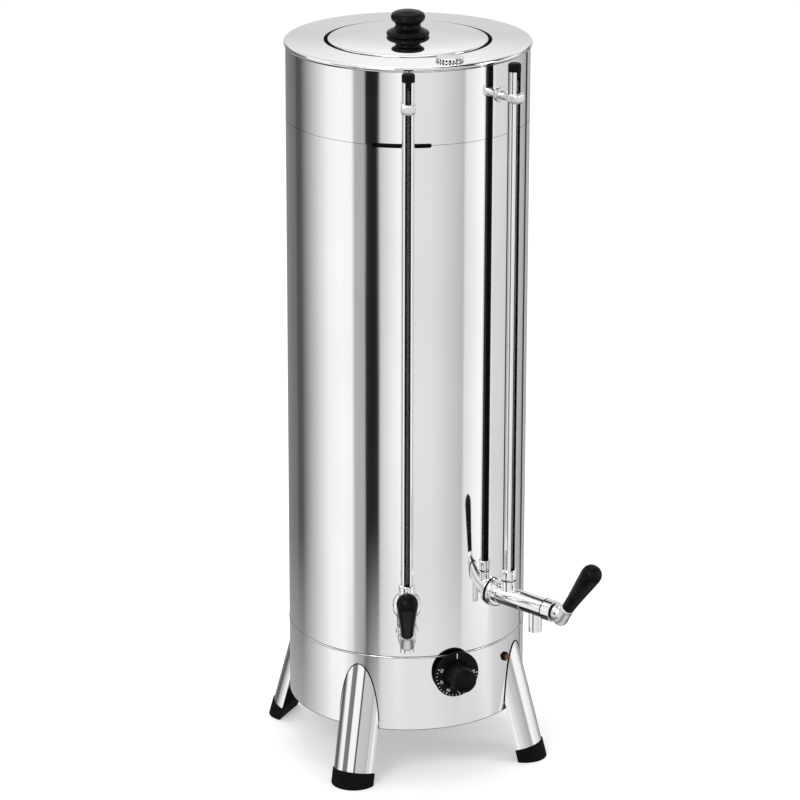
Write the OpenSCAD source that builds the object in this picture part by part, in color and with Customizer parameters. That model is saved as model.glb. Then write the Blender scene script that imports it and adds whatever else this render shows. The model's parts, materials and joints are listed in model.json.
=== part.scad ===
// Coffee urn: a coffee vessel hung in a heated water tank inside a polished jacket,
// with a tap and a sight gauge for each, on four splayed legs.
// Millimetres, +Z up, front at -Y. The origin is on the floor, on the urn's axis.
// Bearings are measured from the front, positive towards +X.

/* [Jacket] */
// Outer diameter of the jacket
body_d = 250; // [235:1:270]
// Thickness of the steel sheet
sheet_t = 1; // [0.8:0.1:1.3]
// Height of the base band's lower edge above the floor
band_bottom = 57.9; // [54:0.1:64]
// Height of the base band
band_h = 82.2; // [78:0.2:96]
// Height of the main jacket
jacket_h = 547.8; // [480:0.2:640]
// Height of the upper collar
collar_h = 74.6; // [68:0.2:90]
// How far one shell laps inside the next
lap_h = 8; // [6:0.5:10]
// Radial clearance between lapped shells
lap_gap = 0.15; // [0.1:0.05:0.3]
// Height of the deck's rolled rim
rim_h = 5.6; // [4:0.2:7]
// Overhang of the rolled rim past the jacket
rim_overhang = 1.8; // [1:0.1:2.4]
// Length of the vent slot on the upper seam
vent_l = 59.5; // [40:0.5:68]
// Height of the vent slot
vent_h = 4.5; // [3:0.1:6]
// Bearing of the vent slot
vent_az = -26.3; // [-32:0.1:-20]
// How far the bottom cover is recessed inside the band
cover_recess = 3; // [2:0.5:6]
// Thickness of the bottom cover
cover_t = 1.2; // [1:0.1:2]
// Width of the flange that the bottom cover screws to
cover_seat = 14; // [12:0.5:18]
// Diameter of the bottom cover's screws
cover_screw_d = 4; // [3:0.5:5]

/* [Vessels] */
// Gap between the jacket and the water tank
tank_gap = 6; // [5.5:0.5:9]
// Width of the ledge that the tank stands on
tank_seat = 5; // [4:0.5:8]
// Clearance between the coffee vessel and the well's ledge
vessel_gap = 1; // [0.5:0.5:6]
// Height of the coffee vessel's bottom above the tap axis
vessel_rise = 43; // [38:1:60]
// Width of the deck from the jacket to the well
deck_w = 39; // [37.5:0.5:44]
// Depth of the well's ledge below the deck
well_depth = 12; // [10:0.5:16]
// Width of the well's ledge
ledge_w = 7; // [6:0.5:7.5]
// Outer diameter of the coffee outlet pipe
pipe_d = 16; // [14:0.5:18]

/* [Lid and filler] */
// Gap between the lid and the well
lid_gap = 4; // [3:0.5:6]
// Height of the lid's edge above the deck
lid_edge = 1; // [0:0.1:2]
// Rise of the lid from edge to centre
lid_rise = 2.6; // [2:0.1:6]
// Clearance between the lid and its seat
lid_seat_gap = 0.2; // [0.1:0.05:0.4]
// Diameter of the lid knob's foot
knob_d = 44; // [38:0.5:52]
// Diameter of the lid knob's head
knob_head_d = 35; // [30:0.5:37]
// Diameter of the lid knob's waist
knob_waist_d = 26; // [22:0.5:28]
// Height of the lid knob
knob_h = 26.6; // [25:0.2:32]
// Diameter of the lid knob's screw
knob_screw_d = 5; // [4:0.5:6]
// Distance of the filler's axis in from the jacket
filler_inset = 21; // [20:0.5:23]
// Outer diameter of the filler plug
filler_d = 28.5; // [26:0.5:29]
// Height of the filler plug's cap
filler_h = 3.2; // [3:0.1:8]
// Bore of the filler neck
filler_bore = 19; // [16:0.5:20]

/* [Taps] */
// Bearing of each tap, either side of the front
tap_az = 23.4; // [21:0.1:26]
// Height of the tap axis above the jacket's lower seam
tap_rise = 58.5; // [54:0.5:66]
// Diameter of the tap's barrel
barrel_d = 20.5; // [19:0.5:22]
// Reach of the barrel from the jacket
barrel_reach = 72.3; // [70:0.1:80]
// Diameter of the tap's wall flange
flange_d = 30; // [26:0.5:34]
// Thickness of the tap's wall flange
flange_t = 4; // [3:0.5:6]
// Thickness of the tap's rubber gasket
gasket_t = 2; // [1.5:0.5:3]
// Diameter of the tap's threaded shank
shank_d = 17; // [15:0.5:18]
// How far the shank reaches inside the jacket
shank_in = 29; // [24:1:34]
// Diameter of the waterway through the tap
waterway_d = 10; // [8:0.5:11]
// Diameter of the valve plug
plug_d = 15; // [14:0.5:15.5]
// Radial clearance of the valve plug and of its stem
plug_gap = 0.1; // [0.05:0.01:0.15]
// Diameter of the port through the valve plug
port_d = 8.4; // [7:0.2:9]
// Diameter of the valve stem
stem_d = 10; // [8:0.5:11]
// Diameter of the bonnet nut
bonnet_d = 22.5; // [21:0.5:25]
// Length of the bonnet nut
bonnet_l = 11.8; // [11:0.1:13]
// Reach of the spout's axis from the jacket
spout_reach = 57.2; // [56:0.1:58]
// Outer diameter of the spout
spout_d = 14.5; // [13:0.5:16]
// Drop of the spout's mouth below the tap axis
spout_drop = 28.3; // [24:0.1:40]

/* [Levers] */
// Inclination of the lever above the horizontal
lever_tilt = 55.7; // [45:0.1:65]
// Reach of the lever's axis from the jacket
lever_reach = 95.6; // [94:0.1:104]
// Diameter of the lever's hub
hub_d = 14; // [13:0.5:16]
// Diameter of the lever's ferrule
ferrule_d = 13.6; // [12:0.2:15]
// Length of the ferrule above the tap axis
ferrule_l = 10.6; // [10:0.1:16]
// Length of the ferrule below the tap axis
ferrule_tail = 6.2; // [4:0.1:8]
// Length of the grip
grip_l = 65; // [55:0.5:90]
// Diameter of the grip at the ferrule
grip_neck_d = 13; // [12:0.5:15]
// Diameter of the grip's round end
grip_d = 21.8; // [20:0.2:25]
// Thickness of the black washer behind the hub
washer_t = 1.5; // [1.2:0.1:3]

/* [Sight gauges] */
// Reach of the gauge's axis from the jacket
gauge_reach = 20; // [19:0.1:24]
// Diameter of the gauge socket on the tap
socket_d = 15.8; // [15:0.2:17]
// Height of the gauge nut's lower face above the tap axis
nut_rise = 18.5; // [16:0.5:24]
// Diameter of the gauge nut
gauge_nut_d = 17.2; // [16.5:0.1:20]
// Height of the gauge nut
gauge_nut_h = 12; // [11:0.5:16]
// Outer diameter of the gauge glass
glass_d = 9.6; // [9:0.1:10]
// Wall of the gauge glass
glass_t = 1.2; // [1:0.1:1.5]
// Outer diameter of the gauge guard
guard_d = 12.7; // [12.5:0.1:12.8]
// Wall of the gauge guard
guard_t = 1; // [0.8:0.1:1.1]
// Width of the guard's slit
slit_w = 6.2; // [5:0.1:7]
// Distance of the guard's top below the rim
guard_drop = 4.4; // [3:0.1:8]
// Diameter of the gauge cap
cap_d = 13.2; // [12.8:0.1:15]
// Height of the gauge cap
cap_h = 8.5; // [7:0.1:12]
// Distance of the gauge holder's axis below the rim
holder_drop = 31.4; // [26:0.2:40]
// Diameter of the holder's rod
holder_d = 9; // [8:0.5:10]
// Width of the holder's eye and head
holder_w = 15; // [14.8:0.1:18]
// Height of the holder's head
holder_h = 11.4; // [10:0.1:13]

/* [Legs] */
// Bearing of the front left leg to the left, with the others at quarter turns
leg_az = 47; // [43:0.5:50]
// Splay of the legs
leg_splay = 15.3; // [13:0.1:18]
// Width of a leg across its open back
leg_w = 44.6; // [38:0.2:48]
// Depth of a leg's half-round section
leg_depth = 18.2; // [17:0.1:22]
// Thickness of a leg's sheet
leg_t = 1.5; // [1.2:0.1:2]
// Distance of a leg's back outside the jacket's radius at the floor
leg_out = 16.6; // [15:0.1:20]
// Clearance between a leg and the band
leg_gap = 0.15; // [0.1:0.05:0.3]
// Diameter of the studs that hold a leg to the band
stud_d = 6; // [5:0.5:8]
// Thickness of a foot's rubber
foot_t = 1.2; // [1:0.1:2.5]
// Height of a foot along the leg
foot_h = 13.5; // [11:0.5:20]
// Height of the rubber under a leg's end
foot_sole = 5; // [4:0.5:7]

/* [Controls] */
// Height of the dial's axis below the jacket's lower seam
dial_drop = 20.6; // [19:0.2:26]
// Diameter of the dial's disc
dial_d = 49.5; // [44:0.5:54]
// Thickness of the dial's disc
dial_t = 3; // [2:0.5:4]
// Gap between the jacket and the dial's disc
dial_gap = 4.5; // [4:0.5:9]
// Diameter of the dial's grip at the disc
dial_grip_d = 31; // [26:0.5:34]
// Diameter of the dial's grip at its face
dial_face_d = 25; // [20:0.5:28]
// Length of the dial's grip
dial_grip_l = 22; // [15:0.5:26]
// Diameter of the dial's shaft
shaft_d = 6; // [5:0.5:7]
// Bearing of the pilot lamp
lamp_az = 32.4; // [30:0.2:34]
// Height of the pilot lamp below the jacket's lower seam
lamp_drop = 21; // [18:0.5:26]
// Diameter of the pilot lamp's bezel
lamp_d = 9.6; // [8:0.2:11]
// Diameter of the pilot lamp's lens
lens_d = 6.4; // [5:0.2:6.6]
// Bore of the rear cable gland
gland_bore = 7.5; // [6:0.5:9]

/* [Hidden] */
$fn = 72;

// A cut runs this far past the face that it opens
over = 1;
// Clearance between pieces that are screwed or pushed together
fit = 0.05;
// Clearance of a hole round what passes through it
hole_gap = 0.2;
// Swelling of a wire, a tube or a lever's knuckle where its direction changes
bend_swell = 0.3;
// Facets of a large cylinder that another piece is shaped to
cope_fn = 360;

// Radii of the shells, from the outside in
body_r = body_d / 2;
wall_r = body_r - sheet_t;
spigot_r = wall_r - lap_gap;
spigot_in = spigot_r - sheet_t;
tank_r = wall_r - tank_gap;
tank_in = tank_r - sheet_t;
well_r = body_r - deck_w;
ledge_r = well_r - ledge_w;
vessel_r = ledge_r - vessel_gap;
lid_r = well_r - lid_gap;
filler_pos = body_r - filler_inset;
cover_screw_r = wall_r - cover_seat / 2 - cover_screw_d / 2;
cover_screw_l = 7;
cover_head_h = 1.6;

// Heights from the floor up
seam_z = band_bottom + band_h;
cover_z = band_bottom + cover_recess;
tank_z = seam_z + lap_h;
tap_z = seam_z + tap_rise;
vessel_z = tap_z + vessel_rise;
vent_z = seam_z + jacket_h;
rim_z = vent_z + collar_h;
deck_z = rim_z + rim_h;
ledge_z = deck_z - well_depth;
tank_top = ledge_z - 7;
lid_edge_z = deck_z + lid_edge;
lid_top_z = lid_edge_z + lid_rise;
dial_z = seam_z - dial_drop;
lamp_z = seam_z - lamp_drop;

// Filler neck and the stub of its plug
neck_d = filler_bore + 3;
neck_flange_t = 0.8;
plug_stub = 8;

// Tap, along its own radius
shank_end = body_r - shank_in;
gasket_x = body_r + gasket_t;
barrel_x = body_r + barrel_reach;
spout_x = body_r + spout_reach;
gauge_x = body_r + gauge_reach;
chamber_x = spout_x - 12;
thread_l = bonnet_l - 3.5;
thread_d = plug_d + 2.5;
hub_x = barrel_x + bonnet_l + washer_t + hole_gap;
lever_x = body_r + lever_reach;
knuckle_r = lever_x - hub_x + 0.4;
knuckle_w = ferrule_d + 2 * bend_swell;
washer_lip = 1.5;
stem_in = 8;
tang_d = 8;
tang_l = 40;
locknut_af = 27;
locknut_t = 8;

// Sight gauge, up its own axis
nut_z = tap_z + nut_rise;
nut_thread_d = guard_d + 0.2;
nut_thread_h = 6;
guard_seat = 9;
guard_z = nut_z + guard_seat;
guard_top = rim_z - guard_drop;
glass_z = nut_z - 8;
glass_top = guard_top - 8;
cap_stub = 6;
holder_z = rim_z - holder_drop;
holder_in = tank_r + 1;
holder_nut_t = 3.6;
holder_nut_af = 14;
holder_nut_gap = 0.6;

// Leg section: a circle cut off at the leg's open back
leg_rc = (pow(leg_w / 2, 2) + pow(leg_depth, 2)) / (2 * leg_depth);
leg_cx = leg_depth - leg_rc;
leg_top = 170;
stud_low = 24;
stud_high = 50;
stud_zs = [band_bottom + stud_low, band_bottom + stud_high];
stud_in = wall_r - 9;
leg_nut_t = 5;
leg_nut_af = 10;
leg_nut_gap = 0.3;
legs = [-leg_az, 90 - leg_az, -90 - leg_az, 180 - leg_az];

// Heating element and its terminals
element_d = 8;
element_inset = 32;
element_r = tank_in - element_inset;
element_rise = 24;
element_z = tank_z + element_rise;
element_az = 8;
element_drop = 16;
element_nut_t = 6;
element_nut_af = 14;

// Thermostat, with its sensing bulb in a pocket of the tank
thermo_w = 34;
thermo_l = 28;
thermo_x = sqrt(pow(wall_r, 2) - pow(thermo_w / 2, 2)) - 0.5;
bush_d = 10;
bulb_d = 7;
bulb_l = 40;
bulb_inset = 25;
bulb_r = element_r - bulb_inset;
bulb_z = tank_z - 6;
pocket_t = 1;
capillary_d = 2;

// Supply terminals and cable gland at the rear
gland_rise = 38;
gland_z = band_bottom + gland_rise;
gland_d = 16;
gland_head_d = 22;
gland_head_l = 9;
gland_in = 14;
gland_nut_af = 24;
gland_nut_t = 6.4;
block_w = 42;
block_l = 18;
block_h = 16;
block_inset = 62;
block_y = wall_r - block_inset;
screw_pitch = 12;
screw_well = 4;
wire_d = 2.4;
lead_rise = 12;
lead_gap = 10;
lead_bend = 20;
lead_drop = 8;
lead_side = wall_r / 2 - 2;
lead_back = 25;

// Turns local +X to the outward radius at a bearing.
module at(az) {
    rotate([0, 0, az - 90]) children();
}

// A round bar along local X.
module bar_x(d, x0, x1) {
    translate([x0, 0, 0]) rotate([0, 90, 0]) cylinder(d = d, h = x1 - x0);
}

// A round bar along Z.
module bar_z(d, z0, z1) {
    translate([0, 0, z0]) cylinder(d = d, h = z1 - z0);
}

// A hexagonal nut along local X, with its bore.
module hex_x(af, bore, x0, x1) {
    translate([x0, 0, 0]) rotate([0, 90, 0]) difference() {
        cylinder(d = af / cos(30), h = x1 - x0, $fn = 6);
        translate([0, 0, -over]) cylinder(d = bore, h = x1 - x0 + 2 * over);
    }
}

// A bent wire through a list of points.
module wire(points, d) {
    for (i = [0 : len(points) - 2]) {
        step = points[i + 1] - points[i];
        run = norm(step);
        translate(points[i])
            rotate([0, acos(step[2] / run), atan2(step[1], step[0])])
                cylinder(d = d, h = run);
        if (i > 0) translate(points[i]) sphere(d = d + bend_swell);
    }
}

// The obround vent, cut through both shells that meet at the upper seam.
module vent_cut() {
    at(vent_az) translate([0, 0, vent_z]) rotate([0, 90, 0]) linear_extrude(body_r + over) union() {
        for (side = [-1, 1]) translate([0, side * (vent_l - vent_h) / 2]) circle(d = vent_h);
        square([vent_h, vent_l - vent_h], center = true);
    }
}

module base_band() {
    color("gainsboro") difference() {
        rotate_extrude() polygon([
            [body_r, band_bottom], [body_r, seam_z], [spigot_r, seam_z], [spigot_r, tank_z],
            [tank_r - tank_seat, tank_z], [tank_r - tank_seat, tank_z - sheet_t],
            [spigot_in, tank_z - sheet_t], [spigot_in, seam_z - sheet_t], [wall_r, seam_z - sheet_t],
            [wall_r, cover_z + sheet_t], [wall_r - cover_seat, cover_z + sheet_t],
            [wall_r - cover_seat, cover_z], [wall_r, cover_z], [wall_r, band_bottom]
        ]);
        at(0) translate([0, 0, dial_z]) bar_x(bush_d + 2 * hole_gap, wall_r - 5, body_r + over);
        at(lamp_az) translate([0, 0, lamp_z]) bar_x(lens_d + 2 + 2 * hole_gap, wall_r - 5, body_r + over);
        at(180) translate([0, 0, gland_z]) bar_x(gland_d + 2 * hole_gap, wall_r - 5, body_r + over);
        for (az = legs, z = stud_zs)
            at(az) translate([0, 0, z]) bar_x(stud_d + 2 * hole_gap, wall_r - 5, body_r + over);
        cover_holes(cover_screw_d + 2 * hole_gap, cover_z - over, cover_z + sheet_t + over);
    }
}

// Screw holes, or what fills them, round the bottom cover.
module cover_holes(d, z0, z1) {
    for (az = [0, 90, 180, 270]) at(az) translate([cover_screw_r, 0, 0]) bar_z(d, z0, z1);
}

module main_jacket() {
    color("gainsboro") difference() {
        bar_z(body_d, seam_z, vent_z);
        bar_z(2 * wall_r, seam_z - over, vent_z + over);
        for (side = [-1, 1])
            at(side * tap_az) translate([0, 0, tap_z])
                bar_x(shank_d + 4 * hole_gap, wall_r - 5, body_r + over);
        vent_cut();
    }
}

module upper_collar() {
    color("gainsboro") difference() {
        rotate_extrude() polygon([
            [body_r, vent_z], [body_r, rim_z], [wall_r, rim_z], [wall_r, vent_z + sheet_t],
            [spigot_in, vent_z + sheet_t], [spigot_in, vent_z - lap_h], [spigot_r, vent_z - lap_h],
            [spigot_r, vent_z]
        ]);
        for (side = [-1, 1])
            at(side * tap_az) translate([0, 0, holder_z])
                bar_x(holder_d + 2 * hole_gap, wall_r - 5, body_r + over);
        vent_cut();
    }
}

module top_deck() {
    color("gainsboro") difference() {
        rotate_extrude() union() {
            polygon([
                [spigot_in, rim_z - lap_h], [spigot_r, rim_z - lap_h], [spigot_r, rim_z],
                [body_r + rim_overhang - rim_h / 2, rim_z], [body_r + rim_overhang - rim_h / 2, deck_z],
                [well_r, deck_z], [well_r, ledge_z], [ledge_r, ledge_z],
                [ledge_r, ledge_z - sheet_t], [well_r + sheet_t, ledge_z - sheet_t],
                [well_r + sheet_t, deck_z - sheet_t], [spigot_in, deck_z - sheet_t]
            ]);
            translate([body_r + rim_overhang - rim_h / 2, rim_z + rim_h / 2]) circle(d = rim_h);
        }
        at(0) translate([filler_pos, 0, 0]) bar_z(neck_d + 2 * fit, deck_z - 5, deck_z + over);
    }
}

module bottom_cover() {
    color("silver") difference() {
        bar_z(2 * (wall_r - hole_gap), cover_z - cover_t, cover_z);
        cover_holes(cover_screw_d + 2 * hole_gap, cover_z - cover_t - over, cover_z + over);
    }
}

module cover_screws() {
    color("dimgray") {
        cover_holes(cover_screw_d, cover_z - cover_t, cover_z + cover_screw_l);
        cover_holes(2 * cover_screw_d, cover_z - cover_t - cover_head_h, cover_z - cover_t);
    }
}

module water_tank() {
    color("lightsteelblue") difference() {
        union() {
            rotate_extrude() polygon([
                [0, tank_z], [tank_r, tank_z], [tank_r, tank_top], [ledge_r, tank_top],
                [ledge_r, tank_top - sheet_t], [tank_in, tank_top - sheet_t],
                [tank_in, tank_z + sheet_t], [0, tank_z + sheet_t]
            ]);
            at(0) translate([bulb_r, 0, 0])
                bar_z(bulb_d + 2 * pocket_t + 2 * hole_gap, tank_z, bulb_z + bulb_l + 3);
        }
        at(0) translate([bulb_r, 0, 0]) bar_z(bulb_d + 2 * hole_gap, tank_z - over, bulb_z + bulb_l + 1);
        at(0) translate([filler_pos, 0, 0]) bar_z(neck_d + 2 * fit, tank_top - 5, tank_top + over);
        for (side = [-1, 1])
            at(side * tap_az) translate([0, 0, tap_z])
                bar_x(shank_d + 2 * hole_gap, tank_in - 5, tank_r + over);
        element_ends() bar_z(element_d + 2 * fit, tank_z - over, tank_z + sheet_t + over);
    }
}

module coffee_vessel() {
    color("silver") rotate_extrude() polygon([
        [waterway_d / 2, vessel_z], [vessel_r, vessel_z], [vessel_r, ledge_z],
        [well_r - 0.5, ledge_z], [well_r - 0.5, ledge_z + sheet_t], [vessel_r - sheet_t, ledge_z + sheet_t],
        [vessel_r - sheet_t, vessel_z + sheet_t], [waterway_d / 2, vessel_z + sheet_t]
    ]);
}

module outlet_pipe() {
    color("silver") at(-tap_az) difference() {
        union() {
            bar_z(pipe_d, tap_z, vessel_z);
            translate([0, 0, tap_z]) sphere(d = pipe_d);
            translate([0, 0, tap_z]) bar_x(pipe_d, 0, shank_end);
        }
        bar_z(waterway_d, tap_z, vessel_z + over);
        translate([0, 0, tap_z]) sphere(d = waterway_d);
        translate([0, 0, tap_z]) bar_x(waterway_d, 0, shank_end + over);
    }
}

// Places children at the element's two ends, at the rear.
module element_ends() {
    for (side = [-1, 1]) at(180 + side * element_az) translate([element_r, 0, 0]) children();
}

module heating_element() {
    color("darkgray") {
        translate([0, 0, element_z]) rotate([0, 0, 90 + element_az])
            rotate_extrude(angle = 360 - 2 * element_az) translate([element_r, 0]) circle(d = element_d);
        element_ends() {
            translate([0, 0, element_z]) sphere(d = element_d + bend_swell);
            bar_z(element_d, tank_z - element_drop, element_z);
        }
    }
}

module element_nuts() {
    color("goldenrod") element_ends() translate([0, 0, tank_z]) rotate([0, 90, 0])
        hex_x(element_nut_af, element_d + 2 * fit, 0, element_nut_t);
}

module thermostat() {
    color("slategray") at(0) difference() {
        union() {
            translate([thermo_x - thermo_l, -thermo_w / 2, dial_z - thermo_w / 2])
                cube([thermo_l, thermo_w, thermo_w]);
            translate([0, 0, dial_z]) bar_x(bush_d, thermo_x - over, body_r + dial_gap - 2);
            wire([
                [thermo_x - thermo_l / 2, 0, dial_z + thermo_w / 2 - over],
                [thermo_x - thermo_l / 2, 0, bulb_z - 4],
                [bulb_r, 0, bulb_z - 4],
                [bulb_r, 0, bulb_z + over]
            ], capillary_d);
            translate([bulb_r, 0, 0]) bar_z(bulb_d, bulb_z, bulb_z + bulb_l);
        }
        translate([0, 0, dial_z]) bar_x(shaft_d + 2 * plug_gap, thermo_x - 12, body_r + dial_gap);
    }
}

module pilot_bezel() {
    color("black") at(lamp_az) translate([0, 0, lamp_z]) difference() {
        union() {
            bar_x(lamp_d, body_r + fit, body_r + 1.8);
            bar_x(lens_d + 2, wall_r - 14, body_r + 1.8);
        }
        bar_x(lens_d, wall_r - 11, body_r + 1.8 + over);
    }
}

module pilot_lens() {
    color("orangered") at(lamp_az) translate([0, 0, lamp_z]) {
        bar_x(lens_d - 2 * fit, wall_r - 11, body_r + 2.6);
        translate([body_r + 2.6, 0, 0]) intersection() {
            sphere(d = lens_d - 2 * fit);
            bar_x(lens_d, 0, lens_d);
        }
    }
}

module terminal_block() {
    color("white") difference() {
        translate([-block_w / 2, block_y, cover_z]) cube([block_w, block_l, block_h]);
        for (side = [-1, 0, 1]) translate([side * screw_pitch, block_y + block_l / 2, 0])
            bar_z(5, cover_z + block_h - screw_well, cover_z + block_h + over);
    }
}

// Leads between the terminals, the element, the thermostat and the lamp.
module wiring() {
    block_top = cover_z + block_h - screw_well;
    lead_y = block_y + block_l / 2;
    end_x = element_r * sin(element_az);
    end_y = element_r * cos(element_az);
    end_z = tank_z - element_drop;
    back_y = -(thermo_x - thermo_l);
    lamp_back = wall_r - 14;
    color("firebrick") wire([
        [-screw_pitch, lead_y, block_top], [-screw_pitch, lead_y, block_top + lead_rise + 2],
        [-end_x, end_y, end_z - lead_drop], [-end_x, end_y, end_z]
    ], wire_d);
    color("royalblue") wire([
        [0, lead_y, block_top], [0, lead_y, block_top + lead_rise],
        [lead_gap, lead_bend, block_top + lead_gap],
        [lead_gap, back_y + lead_bend, dial_z - lead_drop], [lead_gap, back_y, dial_z - lead_drop]
    ], wire_d);
    color("royalblue") wire([
        [-lead_gap, back_y, dial_z + 6], [-lead_gap, back_y + lead_bend, dial_z + 6],
        [end_x, end_y, end_z - 14], [end_x, end_y, end_z]
    ], wire_d);
    color("firebrick") wire([
        [screw_pitch, lead_y, block_top], [screw_pitch, lead_y, block_top + lead_rise],
        [lead_side, lead_back, block_top + lead_gap],
        [(lamp_back - 12) * sin(lamp_az), -(lamp_back - 12) * cos(lamp_az), lamp_z],
        [lamp_back * sin(lamp_az), -lamp_back * cos(lamp_az), lamp_z]
    ], wire_d);
}

module cable_gland() {
    color("black") at(180) translate([0, 0, gland_z]) difference() {
        union() {
            bar_x(gland_d, wall_r - gland_in, body_r + 2);
            bar_x(gland_head_d, body_r + fit, body_r + gland_head_l);
        }
        bar_x(gland_bore, wall_r - gland_in - over, body_r + gland_head_l + over);
    }
}

module gland_nut() {
    color("black") at(180) translate([0, 0, gland_z])
        hex_x(gland_nut_af, gland_d + 2 * fit, wall_r - sheet_t - gland_nut_t, wall_r - sheet_t);
}

// Stands local Z along a leg, with local X square to its open back.
module leg_frame(az) {
    at(az) translate([body_r + leg_out, 0, 0]) rotate([0, -leg_splay, 0]) children();
}

// A bar of the leg's D section, grown all round.
module d_bar(grow, s0, s1) {
    translate([0, 0, s0]) linear_extrude(s1 - s0) intersection() {
        translate([leg_cx, 0]) circle(leg_rc + grow);
        translate([-grow, -leg_w]) square([2 * leg_w, 2 * leg_w]);
    }
}

// The leg's curved sheet, open at the back, grown all round.
module leg_sheet(grow, s0, s1) {
    difference() {
        d_bar(grow, s0, s1);
        translate([leg_cx, 0, s0 - over]) cylinder(r = leg_rc - leg_t - grow, h = s1 - s0 + 2 * over);
    }
}

// A half-round leg, coped to the band, with its two welded studs.
module leg(az) {
    color("gainsboro") {
        difference() {
            leg_frame(az) leg_sheet(0, foot_sole, leg_top);
            bar_z(2 * (body_r + leg_gap), band_bottom - leg_gap, deck_z, $fn = cope_fn);
        }
        for (z = stud_zs) intersection() {
            at(az) translate([0, 0, z]) bar_x(stud_d, stud_in, body_r + leg_depth);
            leg_frame(az) translate([leg_cx, 0, 0]) cylinder(r = leg_rc - leg_t / 2, h = leg_top);
        }
    }
}

// A rubber foot, level underneath, grooved for the end of the leg's sheet.
module foot(az) {
    color("black") difference() {
        leg_frame(az) d_bar(foot_t, -2 * foot_h, foot_h);
        leg_frame(az) leg_sheet(fit, foot_sole, foot_h + over);
        translate([-body_d, -body_d, -body_d]) cube([2 * body_d, 2 * body_d, body_d]);
    }
}

module leg_front_left() { leg(legs[0]); }
module leg_front_right() { leg(legs[1]); }
module leg_rear_left() { leg(legs[2]); }
module leg_rear_right() { leg(legs[3]); }
module foot_front_left() { foot(legs[0]); }
module foot_front_right() { foot(legs[1]); }
module foot_rear_left() { foot(legs[2]); }
module foot_rear_right() { foot(legs[3]); }

module leg_nuts() {
    color("silver") for (az = legs, z = stud_zs) at(az) translate([0, 0, z])
        hex_x(leg_nut_af, stud_d + 2 * fit, wall_r - leg_nut_gap - leg_nut_t, wall_r - leg_nut_gap);
}

module filler_neck() {
    color("silver") at(0) translate([filler_pos, 0, 0]) difference() {
        union() {
            bar_z(neck_d, tank_top - 6, deck_z + neck_flange_t);
            bar_z(neck_d + 4, deck_z, deck_z + neck_flange_t);
        }
        bar_z(filler_bore, tank_top - 6 - over, deck_z + neck_flange_t + over);
    }
}

module filler_plug() {
    plug_z = deck_z + neck_flange_t + hole_gap;
    edge = 1.2;
    color("gainsboro") at(0) translate([filler_pos, 0, 0]) {
        rotate_extrude() union() {
            translate([0, plug_z]) square([filler_d / 2, filler_h - edge]);
            translate([0, plug_z]) square([filler_d / 2 - edge, filler_h]);
            translate([filler_d / 2 - edge, plug_z + filler_h - edge]) circle(r = edge);
        }
        bar_z(filler_bore - 4 * hole_gap, plug_z - plug_stub, plug_z + over);
    }
}

// A crown of four cones that falls away to its edge, with a skirt that stands on the vessel's flange.
module lid() {
    hole_r = knob_screw_d / 2 + hole_gap;
    foot_z = ledge_z + sheet_t + lid_seat_gap;
    crown_r = lid_r - sheet_t;
    crown = [
        for (part = [0, 0.25, 0.5, 0.75, 1])
            let (r = hole_r + (crown_r - hole_r) * part)
                [r, lid_top_z - lid_rise * pow(r / crown_r, 4)]
    ];
    inside = [for (i = [4 : -1 : 0]) crown[i] - [0, sheet_t]];
    skirt = [[lid_r, lid_edge_z - sheet_t], [lid_r, foot_z], [crown_r, foot_z]];
    color("gainsboro") rotate_extrude() polygon(concat(crown, skirt, inside));
}

module lid_knob() {
    base_h = 4.6;
    waist_z = 9.6;
    head_r = 5.5;
    head_z = knob_h - head_r - 1.6;
    color("black") translate([0, 0, lid_top_z]) difference() {
        rotate_extrude() union() {
            square([knob_d / 2 - base_h / 2, base_h]);
            translate([knob_d / 2 - base_h / 2, base_h / 2]) circle(d = base_h);
            polygon([
                [0, base_h / 2], [knob_d / 2 - base_h / 2, base_h], [knob_waist_d / 2, waist_z],
                [knob_waist_d / 2, waist_z + 3], [knob_head_d / 2 - head_r, head_z], [0, head_z]
            ]);
            translate([knob_head_d / 2 - head_r, head_z]) circle(r = head_r);
            polygon([
                [0, head_z - head_r], [knob_head_d / 2 - head_r, head_z - head_r],
                [knob_head_d / 2 - head_r, head_z + head_r], [0, knob_h]
            ]);
        }
        bar_z(knob_screw_d + 2 * fit, -over, 15);
    }
}

module lid_knob_screw() {
    head_z = lid_top_z - sheet_t - hole_gap;
    color("silver") {
        bar_z(knob_screw_d, head_z - 2, lid_top_z + 14);
        bar_z(2 * knob_screw_d, head_z - 2.8, head_z);
    }
}

module dial_knob() {
    face_x = body_r + dial_gap + dial_t + dial_grip_l;
    color("black") at(0) translate([0, 0, dial_z]) difference() {
        union() {
            bar_x(dial_d, body_r + dial_gap, body_r + dial_gap + dial_t);
            translate([body_r + dial_gap, 0, 0]) rotate([0, 90, 0])
                cylinder(d1 = dial_grip_d, d2 = dial_face_d, h = dial_t + dial_grip_l);
        }
        bar_x(shaft_d + 2 * fit, body_r, face_x - 5);
    }
}

module dial_shaft() {
    color("silver") at(0) translate([0, 0, dial_z])
        bar_x(shaft_d, thermo_x - 10, body_r + dial_gap + dial_t + dial_grip_l - 6);
}

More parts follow.
